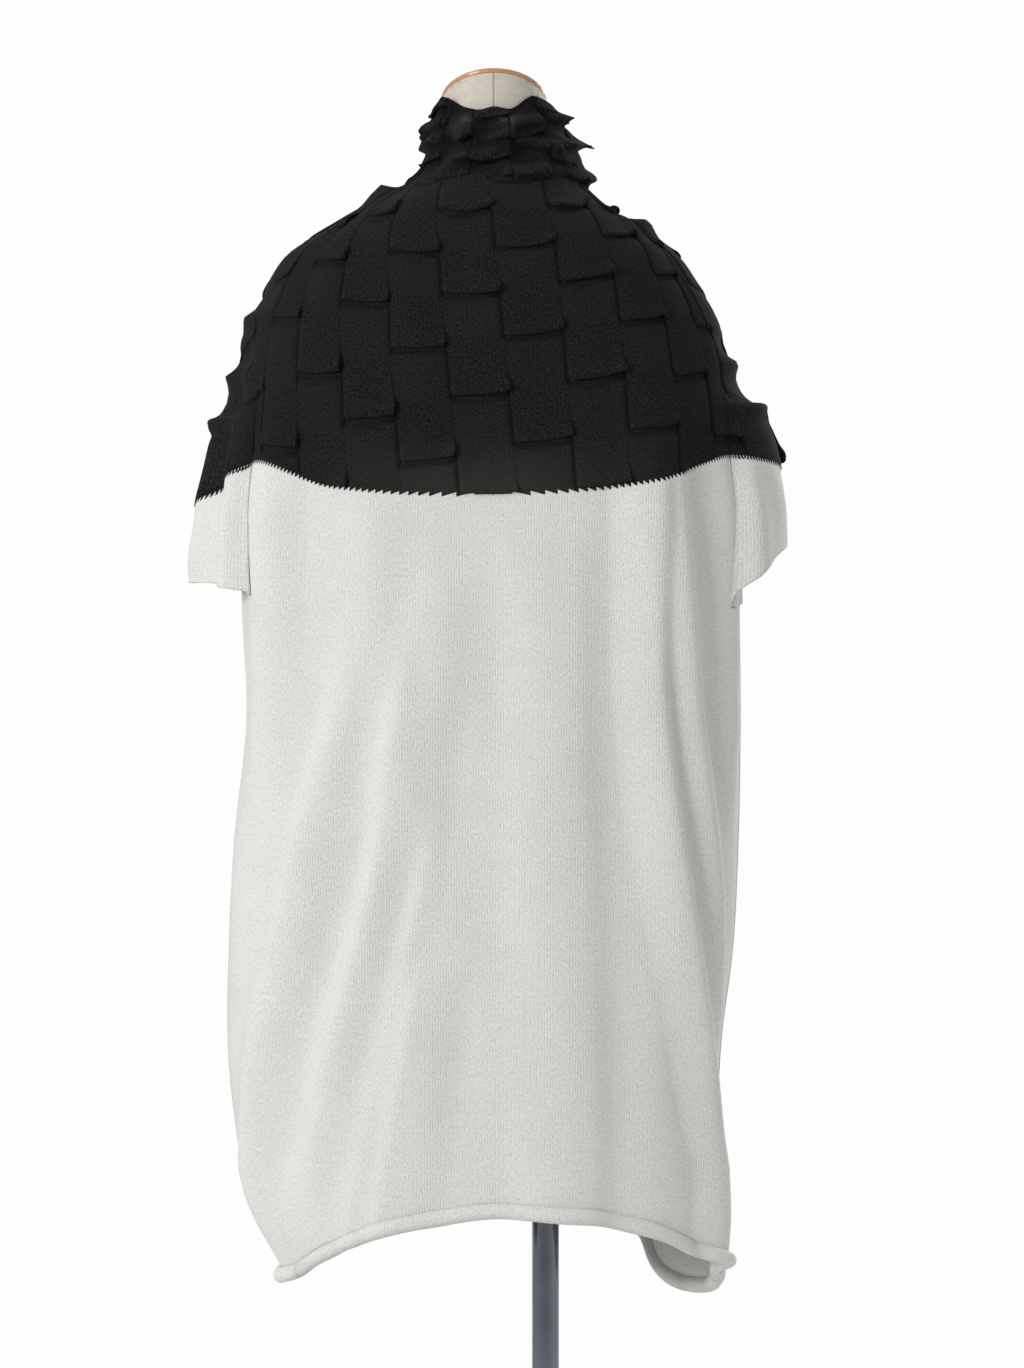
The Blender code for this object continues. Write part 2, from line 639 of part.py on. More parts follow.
# ---------------------------------------------------------------- the form and its stand
def torso(finish):
    """The padded form: hip, waist, chest, sloping shoulders and a neck with a slanted top."""
    turns = (np.arange(FORM_SIDES) + 0.5) * 360 / FORM_SIDES
    rings = []
    for z, side, back, front, square in zip(*FORM.values()):
        rings.append(placed(turns, oval(turns, side, side, back, front, square), z))
    neck = rings[-1]
    for share in (0.5, 1.0):
        slanted = neck.copy()
        top = NECK_TOP_Z - NECK_SLANT * neck[:, 1]
        slanted[:, 2] += (top - neck[:, 2]) * share
        rings.append(slanted)
    return stack("form_torso", rings, finish)


def neck_cap(finish):
    """The wooden disc that closes the neck."""
    turns = (np.arange(FORM_SIDES) + 0.5) * 360 / FORM_SIDES
    rings = []
    side, back, front, square = [FORM[name][-1] for name in ("side", "back", "front", "square")]
    neck = oval(turns, side, side, back, front, square)
    for share, lift in ((1.0, 0.0), (1.0, 0.75), (CAP_EDGE, 1.0)):
        ring = placed(turns, neck * share, 0.0)
        ring[:, 2] = NECK_TOP_Z + SEAM - NECK_SLANT * ring[:, 1] + lift * NECK_CAP
        rings.append(ring)
    return stack("neck_cap", rings, finish)


def base_plate(finish):
    """The flat round foot with its hub, turned in one."""
    profile = [
        (0.0, HUB_TOP_Z),
        (HUB_RADIUS - EDGE, HUB_TOP_Z),
        (HUB_RADIUS, HUB_TOP_Z - EDGE),
        (HUB_RADIUS, BASE_HEIGHT + HUB_FILLET),
        (HUB_RADIUS + HUB_FILLET, BASE_HEIGHT),
        (BASE_RADIUS - BASE_RIM, BASE_HEIGHT - EDGE),
        (BASE_RADIUS, BASE_HEIGHT - BASE_RIM),
        (BASE_RADIUS, EDGE),
        (BASE_RADIUS - EDGE, 0.0),
        (0.0, 0.0),
    ]
    return turned("base_plate", profile, finish)


def pole(finish):
    """The chromed tube between the base and the form."""
    top = FORM_BOTTOM_Z - SOCKET_DEPTH - 2 * SEAM
    shape = bmesh.new()
    bmesh.ops.create_cone(
        shape, cap_ends=True, segments=32, radius1=POLE_RADIUS, radius2=POLE_RADIUS,
        depth=top - HUB_TOP_Z - SEAM,
    )
    bmesh.ops.translate(shape, verts=shape.verts, vec=(0, 0, (top + HUB_TOP_Z + SEAM) / 2))
    return new_object("pole", shape, finish, x=0.0)


def flange(finish):
    """The socket under the form that takes the pole's top."""
    top = FORM_BOTTOM_Z - SEAM
    profile = [
        (0.0, top),
        (FLANGE_RADIUS, top),
        (FLANGE_RADIUS, top - FLANGE_DEPTH),
        (POLE_RADIUS + SOCKET_WALL, top - 2 * FLANGE_DEPTH),
        (POLE_RADIUS + SOCKET_WALL, top - SOCKET_DEPTH),
        (0.0, top - SOCKET_DEPTH),
    ]
    return turned("form_flange", profile, finish, segments=32)


# ---------------------------------------------------------------- build
for leftover in list(bpy.data.objects):
    bpy.data.objects.remove(leftover)
PARTS = bpy.data.collections.new("knit_tunic_on_dress_form")
bpy.context.scene.collection.children.link(PARTS)

BLACK_KNIT = material("black_cotton_knit", (38, 38, 42), 0.9)
WHITE_KNIT = material("white_cotton_knit", (232, 230, 224), 0.9)
LINEN = material("linen_cover", (207, 201, 184), 0.85)
WOOD = material("beech_cap", (200, 144, 108), 0.5)
CHROME = material("chromed_steel", (200, 202, 206), 0.15, metallic=1.0)

yoke("back_yoke", -1, BLACK_KNIT)
yoke("front_yoke", 1, BLACK_KNIT)
skirt("back_body", -1, WHITE_KNIT)
skirt("front_body", 1, WHITE_KNIT)
hem_roll("back_hem", -1, WHITE_KNIT)
hem_roll("front_hem", 1, WHITE_KNIT)
sleeve_end("left_sleeve", -1, WHITE_KNIT)
sleeve_end("right_sleeve", 1, WHITE_KNIT)
collar(BLACK_KNIT)
torso(LINEN)
neck_cap(WOOD)
base_plate(CHROME)
pole(CHROME)
flange(CHROME)
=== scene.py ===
# %% [markdown]
# # A knit tunic on a dress form
#
# A long, boxy tunic seen from behind. Its top is black, knitted in raised blocks whose edges
# curl outwards, its body is white, and it hangs from a linen dress form on a chromed pole.
#
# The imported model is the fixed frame: it gives the real size and place of every piece. This
# lesson builds a finer piece for each of them, and a finish that follows the real material.

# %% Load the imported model
import math

import bpy
import numpy as np
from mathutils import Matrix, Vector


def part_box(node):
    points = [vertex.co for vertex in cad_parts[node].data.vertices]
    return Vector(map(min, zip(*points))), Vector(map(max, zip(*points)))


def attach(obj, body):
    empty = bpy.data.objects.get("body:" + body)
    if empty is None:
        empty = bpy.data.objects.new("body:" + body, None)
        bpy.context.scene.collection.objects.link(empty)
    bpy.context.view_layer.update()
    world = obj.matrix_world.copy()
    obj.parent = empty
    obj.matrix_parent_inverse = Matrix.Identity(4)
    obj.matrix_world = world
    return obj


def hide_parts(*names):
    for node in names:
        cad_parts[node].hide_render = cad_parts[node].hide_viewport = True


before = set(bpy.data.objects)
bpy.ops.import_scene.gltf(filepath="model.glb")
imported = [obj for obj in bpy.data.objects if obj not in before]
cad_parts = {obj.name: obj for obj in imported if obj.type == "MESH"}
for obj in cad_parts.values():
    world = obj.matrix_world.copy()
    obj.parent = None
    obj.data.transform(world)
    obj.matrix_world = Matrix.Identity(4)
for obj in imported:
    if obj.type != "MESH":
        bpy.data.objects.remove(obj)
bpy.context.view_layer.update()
FORM_X = sum(corner.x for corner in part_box("form_torso")) / 2
print("frame:", len(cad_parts), "pieces, the form's axis stands at x =", round(FORM_X, 4))

# %% [markdown]
# ## The camera and the light
#
# The picture is taken from far away with a long lens, level with the tunic's middle, so that
# it hardly shows any perspective. A camera in Blender gets the same view from its distance,
# its height and its focal length. A white studio is a bright world that shows white behind
# the tunic and lights it evenly. A soft lamp at the left, on the photo's side, shapes the
# folds, and a second one lights the tunic's front.

# %% Camera and light
CAMERA_PLACE = (-0.0325, -4.2, 0.9525)
FOCAL_LENGTH = 113.95      # mm, on a sensor 36 mm high
WORLD_LEFT = 0.58          # light of the studio's left and right sides
WORLD_RIGHT = 0.68
WORLD_NEAR = 0.60          # share that is left of it behind the camera
NEAR_ENDS = -0.3           # from here on, along Y, nothing is taken off
BACKGROUND = 0.985         # how white the camera sees the studio


def camera():
    """Make the camera, level and looking along +Y."""
    bpy.ops.object.camera_add(location=CAMERA_PLACE, rotation=(math.radians(90), 0, 0))
    made = bpy.context.object
    made.data.lens = FOCAL_LENGTH
    made.data.sensor_fit = "VERTICAL"
    made.data.sensor_height = 36.0
    made.data.dof.use_dof = False
    bpy.context.scene.camera = made


def lamp(name, place, size, power):
    """A square soft lamp that faces the tunic's middle."""
    bpy.ops.object.light_add(type="AREA", location=place)
    made = bpy.context.object
    made.name = name
    made.data.size = size
    made.data.energy = power
    towards = np.array([FORM_X, 0.0, 0.95]) - np.array(place)
    made.rotation_euler = (
        math.atan2(math.hypot(towards[0], towards[1]), -towards[2]),
        0.0,
        math.atan2(towards[1], towards[0]) - math.pi / 2,
    )


camera()
lamp("key_lamp", (-3.0, -3.1, 2.2), 1.6, 116.0)
lamp("front_lamp", (2.4, 3.2, 2.6), 2.2, 70.0)
bpy.context.scene.view_settings.view_transform = "Standard"
print("camera at", CAMERA_PLACE, "with two soft lamps")

# %% [markdown]
# ## Making nodes
#
# Every finish here is a small graph of nodes. One function adds any node with its settings and
# its links, and another turns a colour, as read off a screen, into the linear values that the
# renderer counts in.


# %% Node and colour helpers
WHITE_LIGHT = (1, 1, 1, 1)


def node(tree, kind, inputs=(), output=0, **settings):
    """Add a node and give back one of its outputs.

    The inputs are a list, in the node's order, or a table by name or number, and each is a
    constant or another node's output.
    """
    made = tree.nodes.new("ShaderNode" + kind)
    for name, value in settings.items():
        setattr(made, name, value)
    for name, value in inputs.items() if isinstance(inputs, dict) else enumerate(inputs):
        if isinstance(value, bpy.types.NodeSocket):
            tree.links.new(value, made.inputs[name])
        else:
            made.inputs[name].default_value = value
    return made.outputs[output]


def linear(colour):
    """An sRGB hex colour as linear red, green, blue and alpha."""
    parts = [int(colour[i:i + 2], 16) / 255 for i in (0, 2, 4)]
    curve = [part / 12.92 if part <= 0.04045 else ((part + 0.055) / 1.055) ** 2.4 for part in parts]
    return (*curve, 1.0)


def new_finish(name, **sockets):
    """A material with an empty Principled shader, and its tree and shader."""
    made = bpy.data.materials.new(name)
    made.use_nodes = True
    shader = made.node_tree.nodes["Principled BSDF"]
    for socket, value in sockets.items():
        shader.inputs[socket.replace("_", " ")].default_value = value
    return made, made.node_tree, shader


def studio_world():
    """A world that lights softly, and that the camera sees as white."""
    world = bpy.data.worlds.new("white_studio")
    world.use_nodes = True
    tree = world.node_tree
    light = tree.nodes["Background"]
    light.inputs["Color"].default_value = WHITE_LIGHT
    way = node(tree, "TexCoord", output="Generated")
    to_right = node(tree, "SeparateXYZ", [way], "X")
    to_front = node(tree, "SeparateXYZ", [way], "Y")
    sides = node(tree, "MapRange", [to_right, -1.0, 1.0, WORLD_LEFT, WORLD_RIGHT])
    near = node(tree, "MapRange", [to_front, -1.0, NEAR_ENDS, WORLD_NEAR, 1.0])
    strength = node(tree, "Math", [sides, near], operation="MULTIPLY")
    tree.links.new(strength, light.inputs["Strength"])
    seen = node(tree, "Background", [WHITE_LIGHT, BACKGROUND])
    by_camera = node(tree, "LightPath", output="Is Camera Ray")
    both = node(tree, "MixShader", [by_camera, light.outputs[0], seen])
    tree.links.new(both, tree.nodes["World Output"].inputs["Surface"])
    bpy.context.scene.world = world


studio_world()
print("world light from", WORLD_RIGHT, "to", WORLD_LEFT, "with a background of", BACKGROUND)

# %% [markdown]
# ## The shape of the cloth
#
# The tunic hangs as a soft tube round the form, so a place on it is a turn, in degrees round
# the form's axis (0 right, 90 front, 180 left, -90 back), and a height. Short tables hold how
# far the cloth reaches at each height, its folds, the sleeves, and the lower and upper edges.
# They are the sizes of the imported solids, which this finer cloth has to lie on, with a few
# changes. Six of the back's folds are higher, deeper or narrower here, two valleys near the
# hem are added, and the right sleeve's inner edge is 6 mm lower.

# %% Sizes of the cloth
KNIT = 0.0013              # thickness of the fine shell
WALL = 0.002               # the outside lies this far out from the hollow
NECK_SEAM_Z = 1.435
UNDERARM_Z = 1.085
VALLEY_TURN = 18.0         # degrees from the side to where a sleeve meets the body
BLOCKS_ACROSS = 13
BLOCKS_UP = 7
BODY_BLOCKS = 5            # blocks from the middle of a panel to the sleeve
BLOCK = 0.056              # width of a block
VALLEY_ACROSS = BODY_BLOCKS / (BLOCKS_ACROSS / 2)
HEM_ROLL = 0.0078
SLEEVE_STAND_OFF = 0.0043
FOLD_FADE = 0.25
SLEEVE_CREASE = {"turn": -171.0, "width": 3.5, "depth": 0.020, "z_top": 1.300, "fade": 0.160}
CUFFS = {-1: {"outer": 1.0505, "inner": 1.037}, 1: {"outer": 1.086, "inner": 1.025}}


def table(columns, *rows):
    """Name the columns of a short table."""
    return dict(zip(columns.split(), np.array(rows, dtype=float).T))


BODY = table(
    "z      left   right  back   front  square",
    (0.340, 0.182, 0.214, 0.102, 0.104, 2.2),
    (0.390, 0.204, 0.215, 0.108, 0.107, 2.2),
    (0.440, 0.231, 0.217, 0.113, 0.110, 2.3),
    (0.520, 0.247, 0.214, 0.117, 0.113, 2.3),
    (0.600, 0.255, 0.217, 0.120, 0.117, 2.4),
    (0.700, 0.254, 0.229, 0.120, 0.120, 2.4),
    (0.800, 0.249, 0.234, 0.118, 0.121, 2.5),
    (0.920, 0.237, 0.236, 0.118, 0.122, 2.6),
    (1.030, 0.241, 0.235, 0.121, 0.126, 2.9),
    (1.140, 0.243, 0.233, 0.126, 0.132, 3.0),
    (1.226, 0.240, 0.231, 0.129, 0.129, 2.8),
    (1.296, 0.235, 0.216, 0.127, 0.112, 2.5),
    (1.342, 0.215, 0.194, 0.122, 0.099, 2.3),
    (1.366, 0.198, 0.178, 0.117, 0.093, 2.2),
    (1.389, 0.167, 0.148, 0.110, 0.088, 2.1),
    (1.414, 0.124, 0.110, 0.098, 0.082, 2.0),
    (1.426, 0.100, 0.095, 0.088, 0.078, 2.0),
    (1.440, 0.080, 0.083, 0.079, 0.074, 2.0),
)
SLEEVES = table(
    "z      left   right  roundness",
    (1.020, 0.053, 0.046, 0.50),
    (1.098, 0.049, 0.048, 0.50),
    (1.156, 0.038, 0.044, 0.55),
    (1.203, 0.028, 0.031, 0.80),
    (1.249, 0.011, 0.006, 1.30),
    (1.300, 0.002, 0.001, 1.60),
    (1.330, 0.000, 0.000, 1.60),
)
WHITE_EDGE = table(
    "across  back   front",
    (-1.00, 1.124, 1.124),
    (-0.89, 1.146, 1.143),
    (-0.77, 1.162, 1.158),
    (-0.45, 1.139, 1.140),
    (0.00, 1.131, 1.133),
    (0.45, 1.144, 1.142),
    (0.77, 1.169, 1.166),
    (0.89, 1.166, 1.163),
    (1.00, 1.160, 1.160),
)
HEM = table(
    "turn     z",
    (-180.0, 0.381),
    (-166.0, 0.388),
    (-151.0, 0.413),
    (-137.0, 0.433),
    (-110.0, 0.450),
    (-90.0, 0.455),
    (-65.0, 0.452),
    (-43.0, 0.445),
    (-29.0, 0.432),
    (-17.0, 0.411),
    (-5.0, 0.390),
    (8.0, 0.368),
    (18.0, 0.364),
    (25.0, 0.384),
    (33.0, 0.412),
    (46.0, 0.430),
    (62.0, 0.440),
    (90.0, 0.446),
    (120.0, 0.432),
    (148.0, 0.402),
    (166.0, 0.386),
)
FOLDS = table(
    "top foot before after out z_top z_foot bend keeps",
    (-156.0, -166.0, 4.5, 4.5, 0.009, 1.230, 0.800, 1.0, 0),
    (-148.5, -153.0, 4.0, 9.0, -0.007, 1.210, 0.820, 1.0, 0),
    (-139.0, -168.0, 3.8, 4.5, 0.011, 1.030, 0.490, 1.0, 1),
    (-133.0, -128.0, 6.0, 6.0, 0.004, 1.160, 0.800, 1.0, 0),
    (-117.0, -149.0, 5.0, 12.0, 0.010, 1.060, 0.490, 1.0, 1),
    (-116.5, -133.0, 4.5, 11.0, 0.009, 0.710, 0.440, 1.0, 1),
    (-135.0, -166.5, 4.0, 4.0, -0.008, 0.850, 0.440, 1.0, 1),
    (-119.5, -149.5, 4.0, 4.0, -0.007, 0.850, 0.440, 1.0, 1),
    (-68.0, -62.0, 13.0, 13.0, 0.008, 1.170, 0.450, 1.0, 1),
    (-49.0, -40.0, 6.0, 6.0, -0.004, 1.170, 0.500, 1.0, 1),
    (-40.5, -11.0, 4.5, 3.0, 0.018, 1.320, 0.490, 2.4, 1),
    (-36.5, -9.5, 3.8, 3.0, 0.014, 1.300, 0.570, 1.5, 0),
    (-20.0, -12.0, 3.6, 3.6, 0.010, 1.230, 0.800, 1.0, 0),
    (21.0, 14.0, 5.0, 5.0, 0.009, 1.230, 0.640, 1.0, 1),
    (36.0, 22.0, 6.0, 6.0, -0.009, 1.160, 0.440, 1.0, 1),
    (48.0, 34.0, 7.0, 7.0, 0.008, 1.150, 0.400, 1.0, 1),
    (70.0, 58.0, 8.0, 8.0, -0.006, 1.080, 0.400, 1.0, 1),
    (96.0, 92.0, 10.0, 10.0, 0.005, 1.120, 0.400, 1.0, 1),
    (122.0, 132.0, 7.0, 7.0, -0.007, 1.120, 0.400, 1.0, 1),
    (140.0, 150.0, 6.0, 6.0, 0.008, 1.160, 0.420, 1.0, 1),
    (159.0, 162.0, 5.0, 5.0, 0.008, 1.230, 0.800, 1.0, 1),
)
print("tables:", len(BODY["z"]), "sections and", len(FOLDS["top"]), "folds")


# %% [markdown]
# ### Reading the tables
#
# A smooth curve through a table's rows gives every height in between. The section of the body
# is an oval that may reach differently to its four sides. A fold is a soft hump or trough
# that wanders a little as it falls, and a sleeve is a bulge on the body's side.


# %% Curves and sections
def curve_through(x, places, values):
    """Read a smooth curve through a table's values."""
    x = np.asarray(x, dtype=float)
    slopes = np.gradient(values, places)
    left = np.clip(np.searchsorted(places, x) - 1, 0, len(places) - 2)
    span = places[left + 1] - places[left]
    part = np.clip((x - places[left]) / span, 0.0, 1.0)
    value = values[left] * (1 + 2 * part) * (1 - part) ** 2
    value += values[left + 1] * part**2 * (3 - 2 * part)
    value += slopes[left] * span * part * (1 - part) ** 2
    value -= slopes[left + 1] * span * part**2 * (1 - part)
    return value


def around(turn, turns, values):
    """Read a smooth closed curve through values given round the body."""
    turns = np.concatenate([turns[-2:] - 360, turns, turns[:2] + 360])
    values = np.concatenate([values[-2:], values, values[:2]])
    return curve_through((np.asarray(turn) + 180) % 360 - 180, turns, values)


def turn_between(turn, other):
    """The smaller angle from one turn to another, in degrees."""
    return (np.asarray(turn) - other + 180) % 360 - 180


def bell(distance, width):
    """A soft hump: 1 in the middle, 0 from twice the half width on."""
    return np.cos(np.clip(distance / (2 * width), -1, 1) * math.pi / 2) ** 2


def ease(x, start, end):
    """Rise smoothly from 0 at the start to 1 at the end."""
    share = np.clip((x - start) / (end - start), 0, 1)
    return share * share * (3 - 2 * share)


def oval(turn, left, right, back, front, square):
    """Radius of a rounded section that reaches differently to its four sides."""
    angle = np.radians(turn)
    wide = np.where(np.cos(angle) < 0, left, right)
    deep = np.where(np.sin(angle) < 0, back, front)
    across = np.abs(np.cos(angle) / wide) ** square
    along = np.abs(np.sin(angle) / deep) ** square
    return (across + along) ** (-1 / square)


def body_radius(turn, z):
    """The body's hollow: its section with the folds."""
    reaches = [curve_through(z, BODY["z"], BODY[name]) for name in ("left", "right", "back", "front")]
    radius = oval(turn, *reaches, curve_through(z, BODY["z"], BODY["square"]))
    for top, foot, before, after, out, z_top, z_foot, bend, keeps in zip(*FOLDS.values()):
        fallen = np.clip((z_top - z) / (z_top - z_foot), 0, 1)
        past_middle = turn_between(turn, top + (foot - top) * fallen**bend)
        fades = np.clip(fallen / FOLD_FADE, 0, 1) * np.clip(keeps + (1 - fallen) / FOLD_FADE, 0, 1)
        radius = radius + out * fades * bell(past_middle, np.where(past_middle < 0, before, after))
    return radius


def sleeve_reach(turn, z):
    """How far the sleeve's outside stands beyond the body."""
    reach = 0.0
    roundness = curve_through(z, SLEEVES["z"], SLEEVES["roundness"])
    for side_turn, name in ((180.0, "left"), (0.0, "right")):
        share = np.clip(turn_between(turn, side_turn) / VALLEY_TURN, -1, 1)
        size = curve_through(z, SLEEVES["z"], SLEEVES[name])
        reach = reach + size * (1 - share**2) ** roundness
    crease = bell(turn_between(turn, SLEEVE_CREASE["turn"]), SLEEVE_CREASE["width"])
    fallen = np.clip((SLEEVE_CREASE["z_top"] - z) / SLEEVE_CREASE["fade"], 0, 1)
    return np.maximum(reach - crease * fallen * SLEEVE_CREASE["depth"], 0.0)


def cape_radius(turn, z):
    """The yoke's hollow, sleeves included."""
    return body_radius(turn, z) + sleeve_reach(turn, z)


def placed(turn, radius, z):
    """Points at the given turns, radii and heights, round the form's axis."""
    angle = np.radians(turn)
    x, y, z = np.broadcast_arrays(FORM_X + radius * np.cos(angle), radius * np.sin(angle), z)
    return np.stack([x, y, z], axis=-1)


def unit(vectors):
    """The vectors at length 1."""
    return vectors / np.maximum(np.linalg.norm(vectors, axis=-1, keepdims=True), 1e-12)


def outward(radius_of, turn, z):
    """Unit normals of a surface that is given as a radius over turn and height."""
    step_turn, step_z = 0.3, 0.001
    along = placed(turn + step_turn, radius_of(turn + step_turn, z), z)
    along -= placed(turn - step_turn, radius_of(turn - step_turn, z), z)
    up = placed(turn, radius_of(turn, z + step_z), z + step_z)
    up -= placed(turn, radius_of(turn, z - step_z), z - step_z)
    return unit(np.cross(along, up))


print("body reaches", round(float(body_radius(-90.0, 0.9)), 4), "m back from the axis at z = 0.9")


# %% [markdown]
# ### The panels' own lines
#
# A panel is knitted flat, so its columns of stitches keep their spacing where they can, and
# close up where the cloth runs over the shoulder to the neck. "Across" is the place along a
# panel: -1 at the left side seam, 0 in the middle, 1 at the right side seam.


# %% Lines on a panel
LEVELS = np.linspace(0.30, NECK_SEAM_Z, 110)
ACROSS = np.linspace(-1, 1, 261)


def panel_turns(across, z, panel):
    """Turns of the panel's vertical lines at one height."""
    turns = np.empty(len(across))
    for side in (-1, 1):
        here = across >= 0 if side > 0 else across < 0
        share = np.abs(across[here])
        fine = np.linspace(90.0, VALLEY_TURN, 80)
        fine_turn = panel * (fine if side > 0 else 180 - fine)
        line = placed(fine_turn, body_radius(fine_turn, z), z)
        steps = np.linalg.norm(np.diff(line, axis=0), axis=1)
        length = np.concatenate([[0.0], np.cumsum(steps)])
        squeeze = max(BODY_BLOCKS * BLOCK / length[-1], 1.0)
        inside = np.clip(share / VALLEY_ACROSS, 0, 1)
        wanted = length[-1] * (1 - (1 - inside) ** squeeze)
        from_side = np.interp(wanted, length, fine)
        over_sleeve = np.clip((share - VALLEY_ACROSS) / (1 - VALLEY_ACROSS), 0, 1)
        on_sleeve = VALLEY_TURN * np.cos(over_sleeve * math.pi / 2)
        from_side = np.where(share > VALLEY_ACROSS, on_sleeve, from_side)
        turns[here] = panel * (from_side if side > 0 else 180 - from_side)
    return turns


def reader(rows, columns, values):
    """Read a table of values between its rows and columns."""
    def read(row, column):
        i = np.clip(np.searchsorted(rows, row) - 1, 0, len(rows) - 2)
        j = np.clip(np.searchsorted(columns, column) - 1, 0, len(columns) - 2)
        down = np.clip((row - rows[i]) / (rows[i + 1] - rows[i]), 0, 1)
        along = np.clip((column - columns[j]) / (columns[j + 1] - columns[j]), 0, 1)
        first = values[i, j] * (1 - along) + values[i, j + 1] * along
        second = values[i + 1, j] * (1 - along) + values[i + 1, j + 1] * along
        return first * (1 - down) + second * down
    return read


def white_edge(across, panel):
    """Height of the border between yoke and body."""
    return curve_through(across, WHITE_EDGE["across"], WHITE_EDGE["back" if panel < 0 else "front"])


TURN_AT = {}
for side_of_tunic in (-1, 1):
    read_off = np.array([panel_turns(ACROSS, z, side_of_tunic) for z in LEVELS])
    TURN_AT[side_of_tunic] = reader(LEVELS, ACROSS, read_off)
print("panel lines read at", len(LEVELS), "heights")


# %% [markdown]
# ### From a flat grid to cloth
#
# Cloth is easiest to start as Blender's grid primitive, flat like the knitted piece. Its
# points are then moved to their places on the body, the seam of a tube is merged, and a
# Solidify modifier gives the sheet its thickness. The grid's map (UV) is set in metres of
# cloth, so that the finish can count stitches.


# %% Cloth from a grid
def clear_selection():
    """Deselect every object."""
    for thing in bpy.context.selected_objects:
        thing.select_set(False)


def moved_grid(name, points, cloth_uv, marks=None, thickness=KNIT, closed=False):
    """Make a grid with one vertex for each point, shape it, and give it a thickness."""
    rows, columns = points.shape[:2]
    clear_selection()
    bpy.ops.mesh.primitive_grid_add(x_subdivisions=columns - 1, y_subdivisions=rows - 1, size=1.0)
    piece = bpy.context.object
    piece.name = piece.data.name = name
    mesh = piece.data
    flat = np.empty(len(mesh.vertices) * 3)
    mesh.vertices.foreach_get("co", flat)
    flat = flat.reshape(-1, 3)
    j = np.rint((flat[:, 0] + 0.5) * (columns - 1)).astype(int)
    i = np.rint((flat[:, 1] + 0.5) * (rows - 1)).astype(int)
    mesh.vertices.foreach_set("co", points[i, j].ravel())
    corners = np.empty(len(mesh.loops), dtype=int)
    mesh.loops.foreach_get("vertex_index", corners)
    mesh.uv_layers[0].data.foreach_set("uv", cloth_uv[i[corners], j[corners]].ravel())
    for mark, values in (marks or {}).items():
        mesh.attributes.new(mark, "FLOAT", "POINT").data.foreach_set("value", values[i, j])
    mesh.update()
    bpy.ops.object.mode_set(mode="EDIT")
    bpy.ops.mesh.select_all(action="SELECT")
    bpy.ops.mesh.remove_doubles(threshold=0.00005)
    if closed:
        bpy.ops.mesh.select_all(action="DESELECT")
        bpy.ops.mesh.select_non_manifold()
        bpy.ops.mesh.edge_face_add()
        bpy.ops.mesh.select_all(action="SELECT")
        bpy.ops.mesh.normals_make_consistent(inside=False)
    bpy.ops.object.mode_set(mode="OBJECT")
    if thickness:
        wall = piece.modifiers.new("thickness", "SOLIDIFY")
        wall.thickness = thickness
        wall.offset = -1.0
        wall.use_even_offset = False
        bpy.ops.object.modifier_apply(modifier=wall.name)
    bpy.ops.object.shade_smooth()
    print(name, "has", sum(len(face.vertices) - 2 for face in mesh.polygons), "triangles")
    return piece


# %% [markdown]
# ## The block pattern of the yoke
#
# The black knit is a chequerboard. In every second block the stitches turn their backs, and
# where a block of one kind stands on a block of the other, its lower edge curls outwards in a
# soft roll with a dark crease under it. The roll ends in a small horn at its right corner.
# The rows droop towards the left side, and the columns lean a little, as the cloth hangs. Within
# a block a row is more nearly level, and it steps at the block's sides.
#
# A place in the pattern has a column and a row. The tables below say where each row's upper
# border lies over the cloth, counted in blocks up from the white edge.

# %% The pattern's rows and columns
ROW_TOPS = np.array([-2.25, -1.15, -0.05, 1.05, 2.20, 3.30, 4.30, 5.20, 6.10, 7.0])
FIRST_ROW = -2.0
ROW_DROOP = table(
    "column  droop",
    (0.0, 2.20),
    (2.5, 1.75),
    (4.0, 0.92),
    (5.0, 0.50),
    (6.0, 0.16),
    (7.0, 0.00),
    (9.5, -0.05),
    (10.9, 0.40),
    (13.0, 0.90),
)
DROOP_FADE = np.array([1.0, 1.0, 1.0, 1.0, 1.0, 0.95, 0.75, 0.65, 0.5, 0.0])
SLOPE_KEPT = 0.45          # share of a row's slope that a block keeps: the rest is a step
STEP_WIDTH = 0.05          # half width of that step, as a share of the block
LEAN = 0.075               # blocks a column leans to the left for each row up
LEAN_START = 0.08
RIGHT_OF_LEAN = (7.0, 10.5)

# The roll along a block's lower edge, as the cloth runs over it from the crease up.
ROLL = table(
    "share out      down",
    (0.000, -0.0022, 0.0000),
    (0.020, -0.0004, 0.0022),
    (0.045, 0.0018, 0.0042),
    (0.070, 0.0036, 0.0048),
    (0.100, 0.0046, 0.0044),
    (0.130, 0.0045, 0.0037),
    (0.160, 0.0038, 0.0033),
    (0.200, 0.0030, 0.0032),
    (0.260, 0.0021, 0.0031),
    (0.360, 0.0013, 0.0029),
    (0.550, 0.0008, 0.0020),
    (0.800, 0.0003, 0.0008),
    (1.000, 0.0000, 0.0000),
)
ROLL_STEPS = (
    0, .010, .020, .032, .045, .058, .072, .087, .102, .118, .134,
    .15, .17, .20, .24, .31, .42, .55, .68, .80, .90, .96,
)
COLUMN_STEPS = (0, .02, .045, .08, .12, .17, .24, .34, .45, .56, .66, .75, .82, .87, .91, .94, .965, .985)


def row_borders(column):
    """Places of the row borders over each column, in blocks up from the white edge."""
    in_block = column - np.floor(column)
    steps = ease(in_block, 1 - STEP_WIDTH, 1.0) - (1 - ease(in_block, 0.0, STEP_WIDTH))
    levelled = np.floor(column) + 0.5 + SLOPE_KEPT * (in_block - 0.5) + (1 - SLOPE_KEPT) * 0.5 * steps
    droop = curve_through(levelled, ROW_DROOP["column"], ROW_DROOP["droop"])
    return ROW_TOPS.reshape(-1, *[1] * droop.ndim) - droop * DROOP_FADE.reshape(-1, *[1] * droop.ndim)


